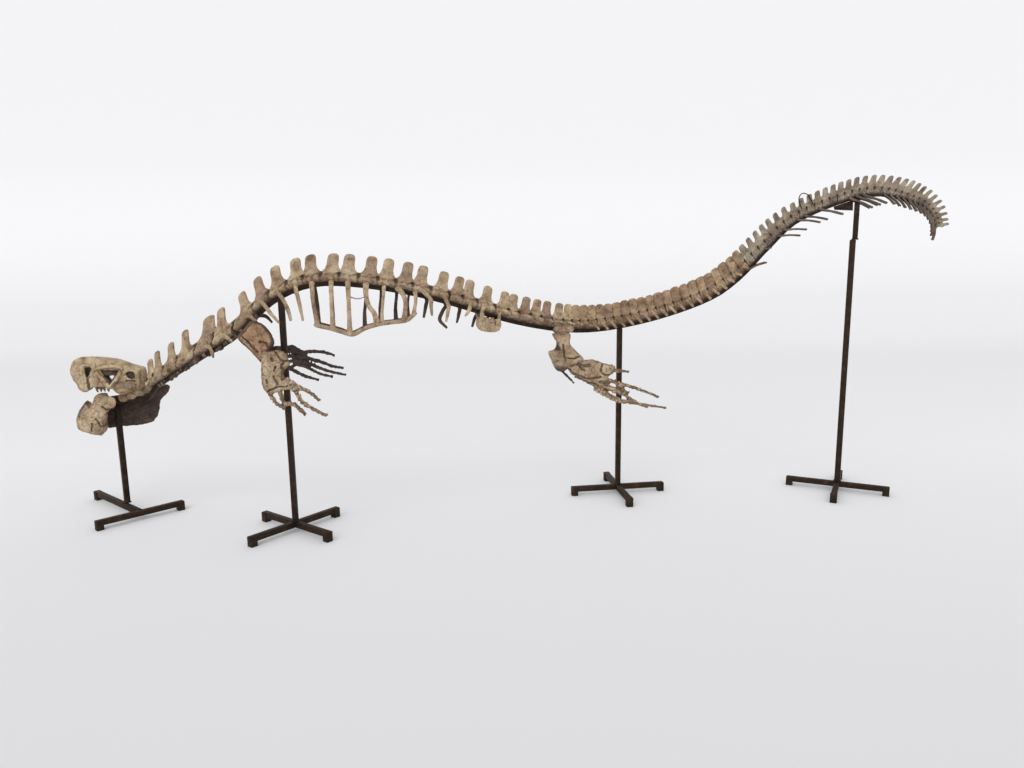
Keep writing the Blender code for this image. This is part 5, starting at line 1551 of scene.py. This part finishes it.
# painted shade: the far-side pieces that take the darker copy of the bone colour
shadedFarSideNodes = ("jaw_right", "rib_cage_right", "shoulder_right", "fore_paddle_right", "pelvis_right",
             "hind_paddle_right")


def slotOf(node):
    if node.startswith("stand_"):
        return "steel"
    if node.startswith("tail_"):
        return "tail_bone"
    if node in shadedFarSideNodes:
        return "dark_bone"
    return "shoulder_bone" if node == "shoulder_left" else "bone"


for node, piece in pieces.items():
    slot = slotOf(node)
    piece.data.materials.append(materials["tail_tip_bone" if node in ("tail_rise", "tail_tip") else slot])
    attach(piece, "root")
    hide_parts(node)

# backdrop, light and camera

studio = {
    # the sheet runs along the floor, then curves up behind: (y, z)
    "profile": ((-14.0, 0.0), (6.2, 0.0)), "curveRadius": 3.0, "curveSteps": 24,
    "wallTop": 12.0, "halfWidth": 18.0,
    # painted shade on the paper: darker towards the front and along the curve, lighter at the top: place along
    # y, colour
    "paper": ((-3.2, "#dadadc"), (-1.2, "#e2e2e4"), (1.3, "#e9e9ea"), (2.6, "#e6e6e7"), (5.2, "#e2e2e3"),
              (8.1, "#e0e0e1"), (9.2, "#ededee")),
    "sky": "#f6f6f7", "skyStrength": 0.82, "sunStrength": 1.25,
    "sunTilt": 54.0, "sunTurn": -20.0, "sunWidth": 60.0,
}
edge, lastY = -studio["halfWidth"], studio["profile"][-1][0]
sheet = [(edge, *place) for place in studio["profile"]]
for k in range(1, studio["curveSteps"] + 1):
    angle = math.radians(90 * k / studio["curveSteps"])
    sheet.append((edge, lastY + studio["curveRadius"] * math.sin(angle),
                  studio["curveRadius"] * (1 - math.cos(angle))))
sheet.append((edge, lastY + studio["curveRadius"], studio["wallTop"]))
sweepMesh = bpy.data.meshes.new("studio_sweep")
sweepMesh.from_pydata(sheet, [(k, k + 1) for k in range(len(sheet) - 1)], [])
sweep = bpy.data.objects.new("studio_sweep", sweepMesh)
bpy.context.scene.collection.objects.link(sweep)
editAll(sweep, "EDGE")
drawOut(x=2 * studio["halfWidth"])
objectMode()
bpy.ops.object.shade_smooth()
paper, paperTree, paperShader = newMaterial("matt studio paper")
paperPlace = addNode(paperTree, "ShaderNodeTexCoord").outputs["Object"]
paperDepth = addNode(paperTree, "ShaderNodeSeparateXYZ", links={"Vector": paperPlace}).outputs["Y"]
nearest, farthest = studio["paper"][0][0], studio["paper"][-1][0]
paperShare = addNode(paperTree, "ShaderNodeMapRange", {"From Min": nearest, "From Max": farthest},
                     {"Value": paperDepth}).outputs["Result"]
paperShadeRamp = rampStops(addNode(paperTree, "ShaderNodeValToRGB", links={"Fac": paperShare}),
                        [((y - nearest) / (farthest - nearest), colour) for y, colour in studio["paper"]])
linkAll(paperTree, paperShader, {"Base Color": paperShadeRamp.outputs["Color"]})
paperShader.inputs["Roughness"].default_value = 0.95
paperShader.inputs["Specular IOR Level"].default_value = 0.1
sweep.data.materials.append(paper)

world = bpy.data.worlds.new("soft studio")
bpy.context.scene.world = world
world.use_nodes = True
world.node_tree.nodes["Background"].inputs["Color"].default_value = toLinear(studio["sky"])
world.node_tree.nodes["Background"].inputs["Strength"].default_value = studio["skyStrength"]

softSun = bpy.data.lights.new("large soft box", "SUN")
softSun.energy = studio["sunStrength"]
softSun.angle = math.radians(studio["sunWidth"])
lamp = bpy.data.objects.new("large soft box", softSun)
lamp.rotation_euler = (math.radians(studio["sunTilt"]), 0.0, math.radians(studio["sunTurn"]))
bpy.context.scene.collection.objects.link(lamp)

view = {"place": (0.048, -4.506, 1.60), "tilt": 90.0 - 10.4245, "turn": -0.7308, "lens": 27.36}
cameraData = bpy.data.cameras.new("camera")
cameraData.lens = view["lens"]
cameraData.sensor_width = 36.0
camera = bpy.data.objects.new("camera", cameraData)
camera.matrix_world = (Matrix.Translation(view["place"])
                       @ Matrix.Rotation(math.radians(view["tilt"]), 4, "X")
                       @ Matrix.Rotation(math.radians(view["turn"]), 4, "Z"))
bpy.context.scene.collection.objects.link(camera)
bpy.context.scene.camera = camera
bpy.context.scene.view_settings.view_transform = "Standard"
